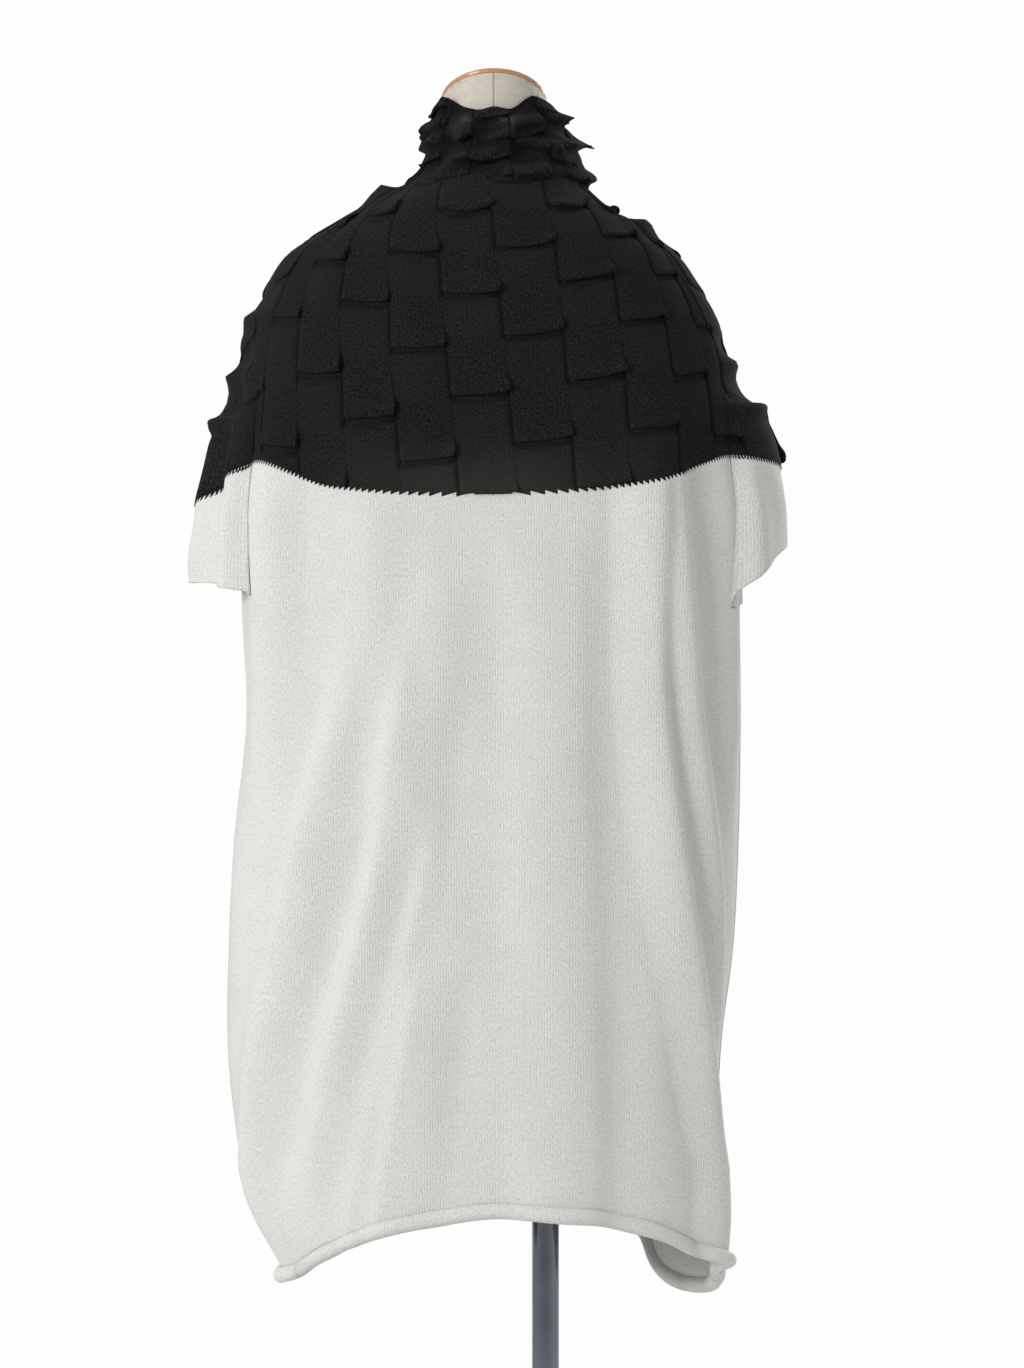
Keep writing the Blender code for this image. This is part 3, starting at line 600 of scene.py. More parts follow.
def lean(column, up):
    """How far the columns lean to the left, in blocks. The side seams don't."""
    right = 1 - ease(column, *RIGHT_OF_LEAN)
    ends = ease(column, 0.0, 1.5) * (1 - ease(column, 11.5, 13.0))
    return (LEAN_START + LEAN * up * right) * ends


def steps_of(count, steps):
    """The same steps in each of some blocks, and the last border."""
    blocks = [block + np.array(steps, dtype=float) for block in range(count)]
    return np.concatenate(blocks + [[float(count)]])


print("blocks:", BLOCKS_ACROSS, "across and", BLOCKS_UP, "up, each", BLOCK * 1000, "mm wide")


# %% [markdown]
# ### Relief of a block
#
# The relief is three moves of each point: outwards from the cloth, down along it, and a
# little to the right at a roll's right end. Only the second one lets the roll hang over its
# crease. Each block has its own strength, from a seeded draw, because no two curl alike.


# %% Relief of the blocks
DRAW = np.random.default_rng(11)
BLOCK_STRENGTH = DRAW.uniform(0.70, 1.12, size=(4, 16, 16))
GROOVE = 0.0011            # depth of the crease at a block's right side
GROOVE_WIDTH = 0.05        # its half width, as a share of the block
HORN = 0.45                # a roll is this much higher at its right end
CREASE = 0.0018            # depth of the crease under a roll
ROW_HEIGHT = 0.046
UPPER_ROWS = (4.5, 6.0)    # rows over which the rolls get more bent towards the neck
LIFT = (0.0014, 0.0040)    # rise of a roll's right end, and how much it gains up there
SAG = (0.0008, 0.0034)     # dip of its middle, and the same
LOW_ROWS = 2               # up to here the rolls are as strong at the sides
COLUMN_STRENGTH = np.array([0.30, 0.45, 0.75, 1, 1, 1, 1, 1, 1, 1, 0.85, 0.50, 0.30, 0.30, 0.30, 0.30])


def block_relief(column, row, which, flip, pucker=0.0, thicker=1.0, row_height=ROW_HEIGHT):
    """Moves of the points out, down and right, in metres, the block's kind, and the painted shade of its
    creases.
    """
    c, r = np.floor(column).astype(int), np.floor(row).astype(int)
    in_c, in_r = column - c, row - r
    purl = (c + r + flip) % 2 == 1
    purl_below = np.where(purl, 1, 0)
    strength = BLOCK_STRENGTH[which, c % 16, (r + purl_below + 4) % 16]
    if which < 2:
        strength = strength * np.where(r < LOW_ROWS, 1.0, COLUMN_STRENGTH[c % 16])
    upper = ease(row, *UPPER_ROWS)
    ends = ease(in_c, -0.02, 0.10) * (1 - ease(in_c, 0.985, 1.0) * 0.5)
    horn = 1 + (HORN if which < 2 else 0.0) * bell(in_c - 0.93, 0.07)
    near_roll = bell(in_r - 0.10, 0.12)
    roll = curve_through(in_r / thicker, ROLL["share"], ROLL["out"]) * strength * ends * horn
    down = curve_through(in_r / thicker, ROLL["share"], ROLL["down"]) * strength * ends
    lifted = (LIFT[0] + LIFT[1] * upper) * ease(in_c, 0.62, 1.0) * strength
    lifted = lifted - (SAG[0] + SAG[1] * upper) * np.sin(in_c * math.pi)
    crease_at = 1 - (ROLL["down"].max() * strength * ends - lifted + 0.0012) / row_height
    groove = -GROOVE * bell(in_c - 1.0, GROOVE_WIDTH)
    left_lip = -GROOVE * bell(in_c, GROOVE_WIDTH)
    puff = np.sin(in_c * math.pi) * np.sin(in_r * math.pi)
    out = np.where(purl, groove - CREASE * bell(in_r - crease_at, 0.05) * strength, roll + left_lip)
    out = out + np.where(purl, 0.0010 - pucker, 0.0006 - 0.3 * pucker) * puff
    down = np.where(purl, 0.0, down - lifted * near_roll)
    right = np.where(purl, 0.0, 0.0038 * bell(in_c - 0.95, 0.08) * near_roll * strength)
    # Painted shade: the yarn is drawn darker in the crease under a roll and in the grooves at a block's
    # sides.
    under = np.where(purl, bell(in_r - crease_at, 0.038), bell(in_r - 0.03, 0.020)) * strength
    painted_groove_shade = np.where(purl, bell(in_c - 1.0, 0.030), bell(in_c, 0.022))
    deep = np.clip(np.maximum(under, painted_groove_shade), 0, 1)
    return out, down, right, purl, deep


def waves(x, y, count, low, high, seed):
    """A smooth uneven surface: a few long waves in seeded directions, about 1 high."""
    draw = np.random.default_rng(seed)
    total = 0.0
    for _ in range(count):
        length, angle, start = draw.uniform(low, high), draw.uniform(0, math.pi), draw.uniform(0, math.tau)
        total = total + np.sin(math.tau * (x * math.cos(angle) + y * math.sin(angle)) / length + start)
    return total / math.sqrt(count)


print("relief: a roll stands", round(ROLL["out"].max() * 1000, 1), "mm out")


# %% [markdown]
# ## The yoke
#
# Each panel's yoke is one grid whose lines follow the block borders, closely where the cloth
# rolls and widely in between. The rows below the white edge fold flat onto it and merge.


# %% Yoke panels
def yoke_map(panel):
    """Heights over the cape by place up (in blocks, along the cloth) and across."""
    up = np.linspace(0, BLOCKS_UP, 141)
    heights = np.empty((len(up), len(ACROSS)))
    for j, place in enumerate(ACROSS):
        z = np.linspace(white_edge(place, panel), NECK_SEAM_Z, 90)
        turn = TURN_AT[panel](z, np.full_like(z, place))
        line = placed(turn, cape_radius(turn, z), z)
        length = np.concatenate([[0.0], np.cumsum(np.linalg.norm(np.diff(line, axis=0), axis=1))])
        heights[:, j] = np.interp(up / BLOCKS_UP * length[-1], length, z)
    return reader(up, ACROSS, heights)


def tangents(points):
    """Unit directions along the rows and up the columns, and the spacing along the rows."""
    along = np.gradient(points, axis=1)
    up = np.gradient(points, axis=0)
    flat_up = np.array([0.0, 0.0, 1.0])
    up = np.where(np.linalg.norm(up, axis=-1, keepdims=True) > 1e-7, up, flat_up)
    return unit(along), unit(up), np.linalg.norm(along, axis=-1)


def cloth_marks(across, z, panel, sheer=None, purl=None, deep=None):
    """What the finish reads at each point: where the colour changes, how thin it is, which blocks are
    turned, and where shade is painted into the creases.
    """
    edge = z - white_edge(across, panel)
    blank = np.zeros_like(edge)
    return {
        "above_edge": edge,
        "along_edge": across * BLOCKS_ACROSS / 2 * BLOCK,
        "sheer": blank if sheer is None else sheer,
        "purl": blank if purl is None else purl.astype(float),
        # Painted shade in creases and hollows, by which the finish darkens the yarn.
        "deep": blank if deep is None else deep,
    }


HORNS = table(
    "turn   z      out",
    (-174.0, 1.3030, 0.0060),
    (-175.0, 1.2480, 0.0080),
    (-175.0, 1.2035, 0.0085),
    (-4.0, 1.2600, 0.0070),
    (-6.0, 1.2165, 0.0095),
    (-172.0, 1.4230, 0.0110),
    (-9.0, 1.3910, 0.0085),
)
YOKE_UNEVEN = 0.0011
HORN_TURN = 8.0            # degrees, half width of a horn round the body


def horns(turn, z):
    """Points of rolls that stand out at the sides and shoulders, each with a dip above it."""
    total = 0.0
    for at_turn, at_z, out in zip(*HORNS.values()):
        above = z - at_z
        peak = np.where(above < 0, 1 - ease(-above, 0.0, 0.012), 1 - ease(above, 0.0, 0.009))
        dip = 0.6 * bell(above - 0.020, 0.009)
        total = total + out * (peak - dip) * bell(turn_between(turn, at_turn), HORN_TURN)
    return total


def knit_yoke(name, panel):
    """The fine yoke of one panel."""
    columns = steps_of(BLOCKS_ACROSS, COLUMN_STEPS)
    rows = steps_of(BLOCKS_UP + 2, ROLL_STEPS) + FIRST_ROW + 1
    rows = rows[rows <= BLOCKS_UP]
    column, row = np.meshgrid(columns, rows)
    borders = row_borders(column)
    levels = np.arange(len(ROW_TOPS)) + FIRST_ROW
    below = np.clip(np.floor(row - FIRST_ROW).astype(int), 0, len(levels) - 2)
    part = row - levels[below]
    i, j = np.indices(row.shape)
    up = borders[below, i, j] * (1 - part) + borders[below + 1, i, j] * part
    up = np.clip(up, 0, BLOCKS_UP)
    kept = (up > 0).any(axis=1)
    first = max(int(np.argmax(kept)) - 1, 0)
    column, row, up = column[first:], row[first:], up[first:]
    up[0] = 0.0
    leaning = np.clip(column - lean(column, up), 0, BLOCKS_ACROSS)
    across = leaning * 2 / BLOCKS_ACROSS - 1
    z = yoke_map(panel)(up, across)
    turn = TURN_AT[panel](z, across)
    base = placed(turn, cape_radius(turn, z), z)
    normal = outward(cape_radius, turn, z)
    smooth_z = yoke_map(panel)(np.clip(up + 0.02, 0, BLOCKS_UP), across)
    smooth_turn = TURN_AT[panel](smooth_z, across)
    higher = placed(smooth_turn, cape_radius(smooth_turn, smooth_z), smooth_z)
    upward = unit(higher - base + 1e-7 * np.array([0, 0, 1.0]))
    along, _, spacing = tangents(base)
    block_width = np.maximum(np.gradient(column, axis=1), 1e-6)
    room = np.clip(spacing / block_width / (0.3 * BLOCK), 0, 1)
    which = 0 if panel < 0 else 1
    out, down, right, purl, deep = block_relief(column, row, which, which)
    fade = ease(up, 0.0, 0.12) * room
    uneven = YOKE_UNEVEN * waves(leaning * BLOCK, up * BLOCK, 6, 0.05, 0.16, 5)
    points = base + normal * (WALL + (out + uneven) * fade + horns(turn, z))[..., None]
    points += -upward * (down * fade)[..., None] + along * (right * fade * room)[..., None]
    sides = [0, -1]
    points[:, sides, 1] = 0.0
    cloth_uv = np.stack([leaning * BLOCK, up * BLOCK], axis=-1)
    thin = 0.75 * bell(across + 0.02, 0.30) * (1 - ease(up, 0.0, 1.5))
    # deep carries the painted shade of the creases, faded out at the white edge.
    marks = cloth_marks(across, z, panel, sheer=thin, purl=purl, deep=deep * ease(up, 0.0, 0.05))
    return moved_grid(name, points, cloth_uv, marks)


back_yoke = knit_yoke("back_yoke_knit", -1)
front_yoke = knit_yoke("front_yoke_knit", 1)

# %% [markdown]
# ## The white body
#
# Below the yoke the tunic hangs straight in plain jersey. Its soft folds start in the yoke or
# lower down, and most of them run to the hem. A few long, shallow waves keep it from looking
# cut from card.

# %% Body panels
INNER_COLUMNS = 161
SIDE_COLUMNS = 22
BODY_ROWS = 165
ROWS_TO_UNDERARM = 0.90
BODY_UNEVEN = 0.0010


def body_columns():
    """Places across the body: even up to the sleeves, and evenly turned over the sides."""
    inner = np.linspace(-VALLEY_ACROSS, VALLEY_ACROSS, INNER_COLUMNS)
    turned_share = np.linspace(0, 1, SIDE_COLUMNS)[:-1]
    turned_share = np.concatenate([turned_share, [0.995]])
    over = np.arccos(turned_share) * 2 / math.pi
    outer = VALLEY_ACROSS + (1 - VALLEY_ACROSS) * over[::-1]
    return np.concatenate([-outer[::-1], inner, outer])


def length_along(points):
    """Length along each row of points, from its middle."""
    steps = np.linalg.norm(np.diff(points, axis=1), axis=-1)
    length = np.concatenate([np.zeros((len(points), 1)), np.cumsum(steps, axis=1)], axis=1)
    return length - length[:, [length.shape[1] // 2]]


def knit_body(name, panel):
    """The fine white body of one panel, from the yoke down to the rolled hem."""
    across = body_columns()
    tops = np.where(np.abs(across) > VALLEY_ACROSS + 0.0001, UNDERARM_Z, white_edge(across, panel))
    top_level = np.full_like(across, 0.46)
    foot = around(TURN_AT[panel](top_level, across), HEM["turn"], HEM["z"]) + HEM_ROLL * 0.7
    share = np.linspace(0, 1, BODY_ROWS)[:, None]
    z = foot + (UNDERARM_Z - foot) * np.clip(share / ROWS_TO_UNDERARM, 0, 1)
    z = z + (tops - UNDERARM_Z) * np.clip((share - ROWS_TO_UNDERARM) / (1 - ROWS_TO_UNDERARM), 0, 1)
    across = np.broadcast_to(across, z.shape)
    turn = TURN_AT[panel](z, across)
    base = placed(turn, body_radius(turn, z), z)
    normal = outward(body_radius, turn, z)
    along_cloth = length_along(base)
    ends = ease(share, 0.0, 0.05) * (1 - ease(share, 0.97, 1.0)) * (1 - ease(np.abs(across), 0.93, 1.0))
    uneven = BODY_UNEVEN * waves(along_cloth, z * 0.45, 7, 0.05, 0.13, 8) * ends
    points = base + normal * (WALL + uneven)[..., None]
    points[:, [0, -1], 1] = 0.0
    cloth_uv = np.stack([along_cloth, z], axis=-1)
    return moved_grid(name, points, cloth_uv, cloth_marks(across, z, panel))


back_body = knit_body("back_body_knit", -1)
front_body = knit_body("front_body_knit", 1)

# %% [markdown]
# ## The rolled hem
#
# Plain jersey curls by itself: the lower edge has rolled up into a tube about 16 mm thick.
# It is a grid bent round on itself, with its two long sides merged.

# %% Hem rolls
ROLL_SIDES = 24
ROLL_UNEVEN = 0.035        # share by which its thickness changes


def knit_hem(name, panel):
    """The rolled lower edge of one panel."""
    across = body_columns()
    turn = TURN_AT[panel](np.full_like(across, 0.46), across)
    z = around(turn, HEM["turn"], HEM["z"])
    middle = placed(turn, body_radius(turn, z + HEM_ROLL), z)
    normal = outward(body_radius, turn, z + HEM_ROLL)
    normal[:, 2] = 0.0
    normal[[0, -1], 1] = 0.0
    normal = unit(normal)
    middle[[0, -1], 1] = 0.0
    middle = middle + normal * WALL
    angle = np.linspace(0, math.tau, ROLL_SIDES + 1)[:, None] + math.pi / 2
    length = across * BLOCKS_ACROSS / 2 * BLOCK
    along_roll = np.broadcast_to(length, (ROLL_SIDES + 1, len(across)))
    uneven = 1 + ROLL_UNEVEN * waves(along_roll, angle * 0.0, 5, 0.03, 0.12, 21)
    radius = HEM_ROLL * uneven
    points = middle + normal * (radius * np.cos(angle))[..., None]
    points = points + np.array([0, 0, 1.0]) * (radius * np.sin(angle))[..., None]
    cloth_uv = np.stack([np.broadcast_to(length, radius.shape), angle * HEM_ROLL + 0 * radius], axis=-1)
    marks = cloth_marks(np.broadcast_to(across, radius.shape), points[..., 2], panel)
    marks = {mark: values[::-1] for mark, values in marks.items()}
    return moved_grid(name, points[::-1], cloth_uv[::-1], marks, thickness=0, closed=True)


back_hem = knit_hem("back_hem_roll", -1)
front_hem = knit_hem("front_hem_roll", 1)

# %% [markdown]
# ## The sleeve ends
#
# The tunic is cut with its sleeves in one, and each sleeve's white end is a short flat tube
# that lies against the body's side. It starts as a grid wrapped once round, like a cuff.

# %% Sleeve ends
VALLEY_GAP = 0.0006        # between sleeve and body where they meet
INNER_LIFT = 0.012         # the tube's inner side ends this much higher
SLEEVE_UNEVEN = 0.0009
SLEEVE_LOOP = 161
OUTER_SHARE = 0.62         # share of the loop that is the sleeve's outer side
SLEEVE_ROWS = 46


def knit_sleeve(name, side):
    """The fine white end of a drop sleeve."""
    loop = np.linspace(0, 1, SLEEVE_LOOP)
    outside = np.clip(loop / OUTER_SHARE, 0, 1)
    inside = np.clip((loop - OUTER_SHARE) / (1 - OUTER_SHARE), 0, 1)
    is_out = loop <= OUTER_SHARE
    across = side * (VALLEY_ACROSS + (1 - VALLEY_ACROSS) * (1 - np.abs(2 * outside - 1)))
    edges = {panel: white_edge(across, panel) for panel in (-1, 1)}
    tops = np.where(is_out, np.where(outside <= 0.5, edges[-1], edges[1]), UNDERARM_Z)
    bulge = np.where(is_out, np.sin(outside * math.pi), 0.0)
    feet = CUFFS[side]["inner"] + (CUFFS[side]["outer"] - CUFFS[side]["inner"]) * bulge
    feet = feet + 0.005 * ease(outside, 0.5, 0.8) * is_out + INNER_LIFT * np.sin(inside * math.pi)
    share = np.linspace(0, 1, SLEEVE_ROWS)[:, None]
    z = feet + (tops - feet) * share
    side_turn = 0.0 if side > 0 else 180.0
    turn = np.where(
        is_out,
        side_turn - side * VALLEY_TURN * np.cos(outside * math.pi),
        side_turn + side * VALLEY_TURN * (1 - 2 * inside),
    )
    turn = np.broadcast_to(turn, z.shape)
    from_valley = np.minimum(np.minimum(outside, 1 - outside) * 2, 1) * is_out
    from_valley = from_valley + np.minimum(np.minimum(inside, 1 - inside) * 2, 1) * (1 - is_out)
    close = VALLEY_GAP * (1 - ease(z, UNDERARM_Z - 0.02, UNDERARM_Z))
    stand = close + (SLEEVE_STAND_OFF + WALL - close) * ease(from_valley, 0.0, 0.30)
    bulge_in = sleeve_reach(turn, z) * ease(from_valley, 0.0, 0.34)
    reach = np.where(is_out, np.maximum(bulge_in, stand + 0.0012 * ease(from_valley, 0.0, 0.2)), stand)
    base = placed(turn, body_radius(turn, z) + reach, z)
    base[:, -1] = base[:, 0]
    around_it = np.roll(base[:, :-1], -1, axis=1) - np.roll(base[:, :-1], 1, axis=1)
    around_it = np.concatenate([around_it, around_it[:, :1]], axis=1)
    normal = unit(np.stack([around_it[..., 1], -around_it[..., 0], 0 * z], axis=-1) * side)
    as_body = (1 - ease(from_valley, 0.0, 0.15))[..., None] * np.ones_like(z)[..., None]
    normal = unit(normal * (1 - as_body) + outward(body_radius, turn, z) * as_body)
    length = np.concatenate([[0], np.cumsum(np.linalg.norm(np.diff(base[-1], axis=0), axis=1))])
    uneven = SLEEVE_UNEVEN * waves(length + 0 * z, z, 5, 0.04, 0.09, 31)
    uneven = uneven * ease(share, 0, 0.1) * (1 - ease(share, 0.9, 1.0))
    uneven = uneven * np.where(is_out, np.sin(outside * math.pi), 0.0)
    points = base + normal * (WALL + uneven)[..., None]
    points[:, -1] = points[:, 0]
    panel = np.where(outside <= 0.5, -1, 1)
    marks = cloth_marks(np.broadcast_to(across, z.shape), z, -1)
    front_marks = cloth_marks(np.broadcast_to(across, z.shape), z, 1)
    marks["above_edge"] = np.where(panel < 0, marks["above_edge"], front_marks["above_edge"])
    marks["above_edge"] = np.where(is_out, marks["above_edge"], -1.0)
    cloth_uv = np.stack([length + 0 * z, z], axis=-1)
    if side < 0:
        points, cloth_uv = points[:, ::-1], cloth_uv[:, ::-1]
        marks = {mark: values[:, ::-1] for mark, values in marks.items()}
    return moved_grid(name, points, cloth_uv, marks)


left_sleeve = knit_sleeve("left_sleeve_knit", -1)
right_sleeve = knit_sleeve("right_sleeve_knit", 1)

# %% [markdown]
# ## The collar
#
# The blocks run on up the neck, where the knit is drawn in, so their rolls stand out as
# ruffles, and loose rolls of cloth lie over them. The collar is a tube: one grid wrapped once
# round the neck. Its top edge waves, and in two places it is marked as so thin that the finish
# draws the linen between the stitches.

# %% Collar
COLLAR_BLOCKS = 12
COLLAR = table(
    "row   z      left   right  back   front",
    (0.00, 1.4340, 0.0835, 0.0870, 0.0810, 0.0765),
    (0.35, 1.4440, 0.0750, 0.0880, 0.0765, 0.0735),
    (1.00, 1.4550, 0.0680, 0.0850, 0.0700, 0.0680),
    (1.40, 1.4640, 0.0660, 0.0850, 0.0690, 0.0670),
    (2.00, 1.4770, 0.0635, 0.0760, 0.0645, 0.0635),
    (2.40, 1.4870, 0.0635, 0.0710, 0.0650, 0.0640),
    (3.00, 1.4980, 0.0600, 0.0610, 0.0600, 0.0595),
    (3.50, 1.5080, 0.0555, 0.0555, 0.0570, 0.0570),
)
COLLAR_ROWS = 3.5
TOP_EDGE = table(
    "turn     rise",
    (-180.0, -0.004),
    (-142.0, 0.011),
    (-122.0, 0.001),
    (-104.0, -0.005),
    (-90.0, -0.001),
    (-76.0, -0.004),
    (-46.0, 0.012),
    (-16.0, -0.002),
    (20.0, -0.004),
    (58.0, 0.003),
    (90.0, -0.004),
    (126.0, 0.004),
    (155.0, -0.003),
)
COLLAR_SHIFT = 0.42        # blocks that the collar's columns are turned by
COLLAR_UNEVEN = 0.0030
# Painted shade: how much darker the collar's hollows are drawn than its rolls.
COLLAR_SHADE = 0.55        # how much darker its hollows are than its rolls
COLLAR_THICKER = 1.3       # its rolls take this many times the share of a block's height
COLLAR_ROW = 0.024         # height of one of its rows
COLLAR_PUCKER = 0.0050     # how far its turned blocks draw in
THIN_PATCHES = table("turn width", (-116.0, 9.0), (-81.0, 10.0))
THIN_ROW = 2.75            # the row that they lie in
THINNEST = 1.2
COLLAR_ROLL = 0.0040       # half width of its loose rolls
COLLAR_ROLLS = table(
    "turn    z      half  tilt    out",
    (-115.0, 1.5080, 22.0, -0.0040, 0.0060),
    (-154.0, 1.4920, 20.0, 0.0020, 0.0085),
    (-157.0, 1.4740, 21.0, 0.0035, 0.0085),
    (-103.0, 1.4600, 16.0, 0.0035, 0.0085),
    (-122.0, 1.4850, 10.0, -0.0080, 0.0065),
    (-68.0, 1.4430, 17.0, 0.0030, 0.0095),
    (-54.0, 1.4700, 18.0, -0.0030, 0.0085),
    (-62.0, 1.4930, 15.0, 0.0040, 0.0070),
    (-84.0, 1.4790, 11.0, 0.0030, 0.0070),
    (-16.0, 1.4740, 22.0, 0.0030, 0.0120),
    (-18.0, 1.4980, 22.0, 0.0010, 0.0110),
    (-14.0, 1.4440, 20.0, 0.0030, 0.0080),
    (24.0, 1.4860, 15.0, 0.0030, 0.0080),
    (44.0, 1.4600, 18.0, 0.0030, 0.0085),
    (72.0, 1.4780, 16.0, -0.0030, 0.0080),
    (88.0, 1.4540, 18.0, 0.0030, 0.0080),
    (112.0, 1.4880, 18.0, 0.0030, 0.0070),
    (130.0, 1.4620, 18.0, -0.0030, 0.0085),
    (152.0, 1.4860, 15.0, 0.0030, 0.0080),
)


def loose_rolls(turn, z):
    """Rolls of drawn-in knit that stand out of the collar, each with a blunt end."""
    total = 0.0
    for middle, height, half, tilt, out in zip(*COLLAR_ROLLS.values()):
        place = turn_between(turn, middle) / half
        ends = np.sqrt(np.clip(1 - place**4, 0, 1)) * (1 + 0.25 * bell(place - 0.7, 0.25))
        total = np.maximum(total, out * ends * bell(z - height - tilt * place, COLLAR_ROLL))
    return total


def knit_collar():
    """The fine stand-up collar."""
    columns = steps_of(COLLAR_BLOCKS, COLUMN_STEPS)
    rows = steps_of(4, ROLL_STEPS)
    rows = rows[rows <= COLLAR_ROWS]
    column, row = np.meshgrid(columns, rows)
    turn = -180 + (column + COLLAR_SHIFT) * 360 / COLLAR_BLOCKS
    sizes = [curve_through(row, COLLAR["row"], COLLAR[name]) for name in ("left", "right", "back", "front")]
    radius = oval(turn, *sizes, 2.0)
    z = curve_through(row, COLLAR["row"], COLLAR["z"])
    climb = row / COLLAR_ROWS
    z = z + climb**2 * around(turn, TOP_EDGE["turn"], TOP_EDGE["rise"])
    base = placed(turn, radius, z)
    along, up, _ = tangents(base)
    normal = unit(np.cross(along, up))
    normal = unit(normal * np.array([1, 1, 0.35]))
    out, down, right, purl, deep = block_relief(
        column, row + BLOCKS_UP, 2, 0, COLLAR_PUCKER, COLLAR_THICKER, COLLAR_ROW
    )
    near_top = ease(row, COLLAR_ROWS - 0.25, COLLAR_ROWS)
    strength = 0.90 + 0.30 * ease(row, 0.3, 1.5)
    loose = loose_rolls(turn, z) * (1 - near_top)
    # Painted shade: the hollows between the rolls are drawn darker.
    deep = np.clip(deep + COLLAR_SHADE * (1 - ease(out + loose, 0.0000, 0.0045)), 0, 1)
    waved = waves(np.radians(turn) * 0.075 * 3, row * 0.02, 5, 0.05, 0.12, 41)
    waved = COLLAR_UNEVEN * waved * ease(row, 0.0, 0.4)
    standing = WALL + out * strength * (1 - 0.7 * near_top) + waved + loose
    points = base + normal * standing[..., None]
    hanging = down * 0.55 * strength * (1 - near_top) + 0.45 * loose
    points += -up * hanging[..., None] + along * (0.3 * right * strength)[..., None]
    points[:, -1] = points[:, 0]
    thin = 0.0
    for middle, width in zip(*THIN_PATCHES.values()):
        thin = thin + bell(turn_between(turn, middle), width) * bell(row - THIN_ROW, 0.28)
    cloth_uv = np.stack([column * 0.040, row * 0.024], axis=-1)
    marks = cloth_marks(0 * z, z, -1, sheer=np.clip(THINNEST * thin, 0, 2), purl=purl, deep=deep)
    return moved_grid("collar_knit", points, cloth_uv, marks, thickness=0.0011)


collar = knit_collar()

# %% [markdown]
# ## The dress form
#
# The form is a padded shell covered in linen. The solid already has its shape, in flat
# facets, so a copy of it is merged, its triangles are joined to quads, and a Subdivision
# Surface modifier rounds them. Its sharp rims get a crease so that they stay sharp.


# %% Form cover and neck cap
def rounded_copy(name, node_name, levels, sharp_over):
    """A copy of a CAD node, merged, with its round faces subdivided and its rims kept."""
    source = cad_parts[node_name]
    copy = source.copy()
    copy.data = source.data.copy()
    copy.name = copy.data.name = name
    copy.parent = None
    bpy.context.scene.collection.objects.link(copy)
    clear_selection()
    bpy.context.view_layer.objects.active = copy
    copy.select_set(True)
    copy.data.materials.clear()
    bpy.ops.object.mode_set(mode="EDIT")
    bpy.ops.mesh.select_all(action="SELECT")
    bpy.ops.mesh.remove_doubles(threshold=0.00002)
    bpy.ops.mesh.dissolve_limited(angle_limit=math.radians(0.5))
    bpy.ops.mesh.tris_convert_to_quads(face_threshold=math.radians(60), shape_threshold=math.radians(60))
    bpy.ops.mesh.select_all(action="DESELECT")
    bpy.ops.mesh.edges_select_sharp(sharpness=math.radians(sharp_over))
    bpy.ops.transform.edge_crease(value=1.0)
    bpy.ops.object.mode_set(mode="OBJECT")
    rounding = copy.modifiers.new("rounding", "SUBSURF")
    rounding.levels = levels
    rounding.render_levels = levels
    bpy.ops.object.modifier_apply(modifier=rounding.name)
    bpy.ops.object.shade_smooth_by_angle(angle=math.radians(40))
    print(name, "has", len(copy.data.polygons), "faces")
    return copy


form_cover = rounded_copy("form_cover", "form_torso", 2, 50)
cap = rounded_copy("neck_cap_disc", "neck_cap", 2, 30)

# %% [markdown]
# ## The stand
#
# The pole, its socket under the form and the round base are turned metal. Each is one or two
# cylinders at their size and place, with bevels that soften the rims.


# %% Pole, socket and base
def turned(name, radius, bottom, top, bevel, sides=96):
    """A cylinder between two heights, its rims rounded."""
    clear_selection()
    bpy.ops.mesh.primitive_cylinder_add(
        vertices=sides, radius=radius, depth=top - bottom, location=(0, 0, (top + bottom) / 2)
    )
    piece = bpy.context.object
    piece.name = piece.data.name = name
    bpy.ops.object.transform_apply(location=True, rotation=True, scale=True)
    rim = piece.modifiers.new("rim", "BEVEL")
    rim.width = bevel
    rim.segments = 3
    rim.limit_method = "ANGLE"
    bpy.ops.object.modifier_apply(modifier=rim.name)
    bpy.ops.object.shade_smooth_by_angle(angle=math.radians(40))
    return piece


def join(name, pieces):
    """Join pieces into one."""
    clear_selection()
    for piece in pieces:
        piece.select_set(True)
    bpy.context.view_layer.objects.active = pieces[0]
    bpy.ops.object.join()
    pieces[0].name = pieces[0].data.name = name
    return pieces[0]


def across_of(node_name):
    """Half the width of a CAD node, and its lowest and highest points."""
    low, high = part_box(node_name)
    return (high.x - low.x) / 2, low.z, high.z


pole_radius, pole_bottom, pole_top = across_of("pole")
flange_radius, flange_bottom, flange_top = across_of("form_flange")
base_radius, base_bottom, base_top = across_of("base_plate")
PLATE_HEIGHT = 0.012
HUB_RADIUS = 0.024
SOCKET_WALL = 0.005
FLANGE_DEPTH = 0.004
pole = turned("pole_tube", pole_radius, pole_bottom, pole_top, 0.0005)
socket = join("form_socket", [
    turned("plate", flange_radius, flange_top - FLANGE_DEPTH, flange_top, 0.001),
    turned("sleeve", pole_radius + SOCKET_WALL, flange_bottom, flange_top - FLANGE_DEPTH, 0.001),
])
foot = join("round_base", [
    turned("plate", base_radius, base_bottom, base_bottom + PLATE_HEIGHT, 0.003),
    turned("hub", HUB_RADIUS, base_bottom + PLATE_HEIGHT, base_top, 0.002),
])
print("pole", round(pole_radius * 2000, 1), "mm across, base", round(base_radius * 2000), "mm")

# %% [markdown]
# ## Finishes
#
# ### Cotton jersey
#
# The knit is cotton jersey, matt, of small V stitches in upright columns. Real stitches here
# are about 1.6 mm wide, too fine to show at this distance, so they are drawn 2.6 mm wide.
# One finish serves both yarns: a point is black where it lies above the colour change, and a
# saw wave breaks that line into steps, as in the real knit. Where the knit is thin, the
# linen's colour is drawn between the stitches: there are no holes. Spun cotton has hairs that
# scatter light, so the cloth has hardly any gloss and a faint sheen.

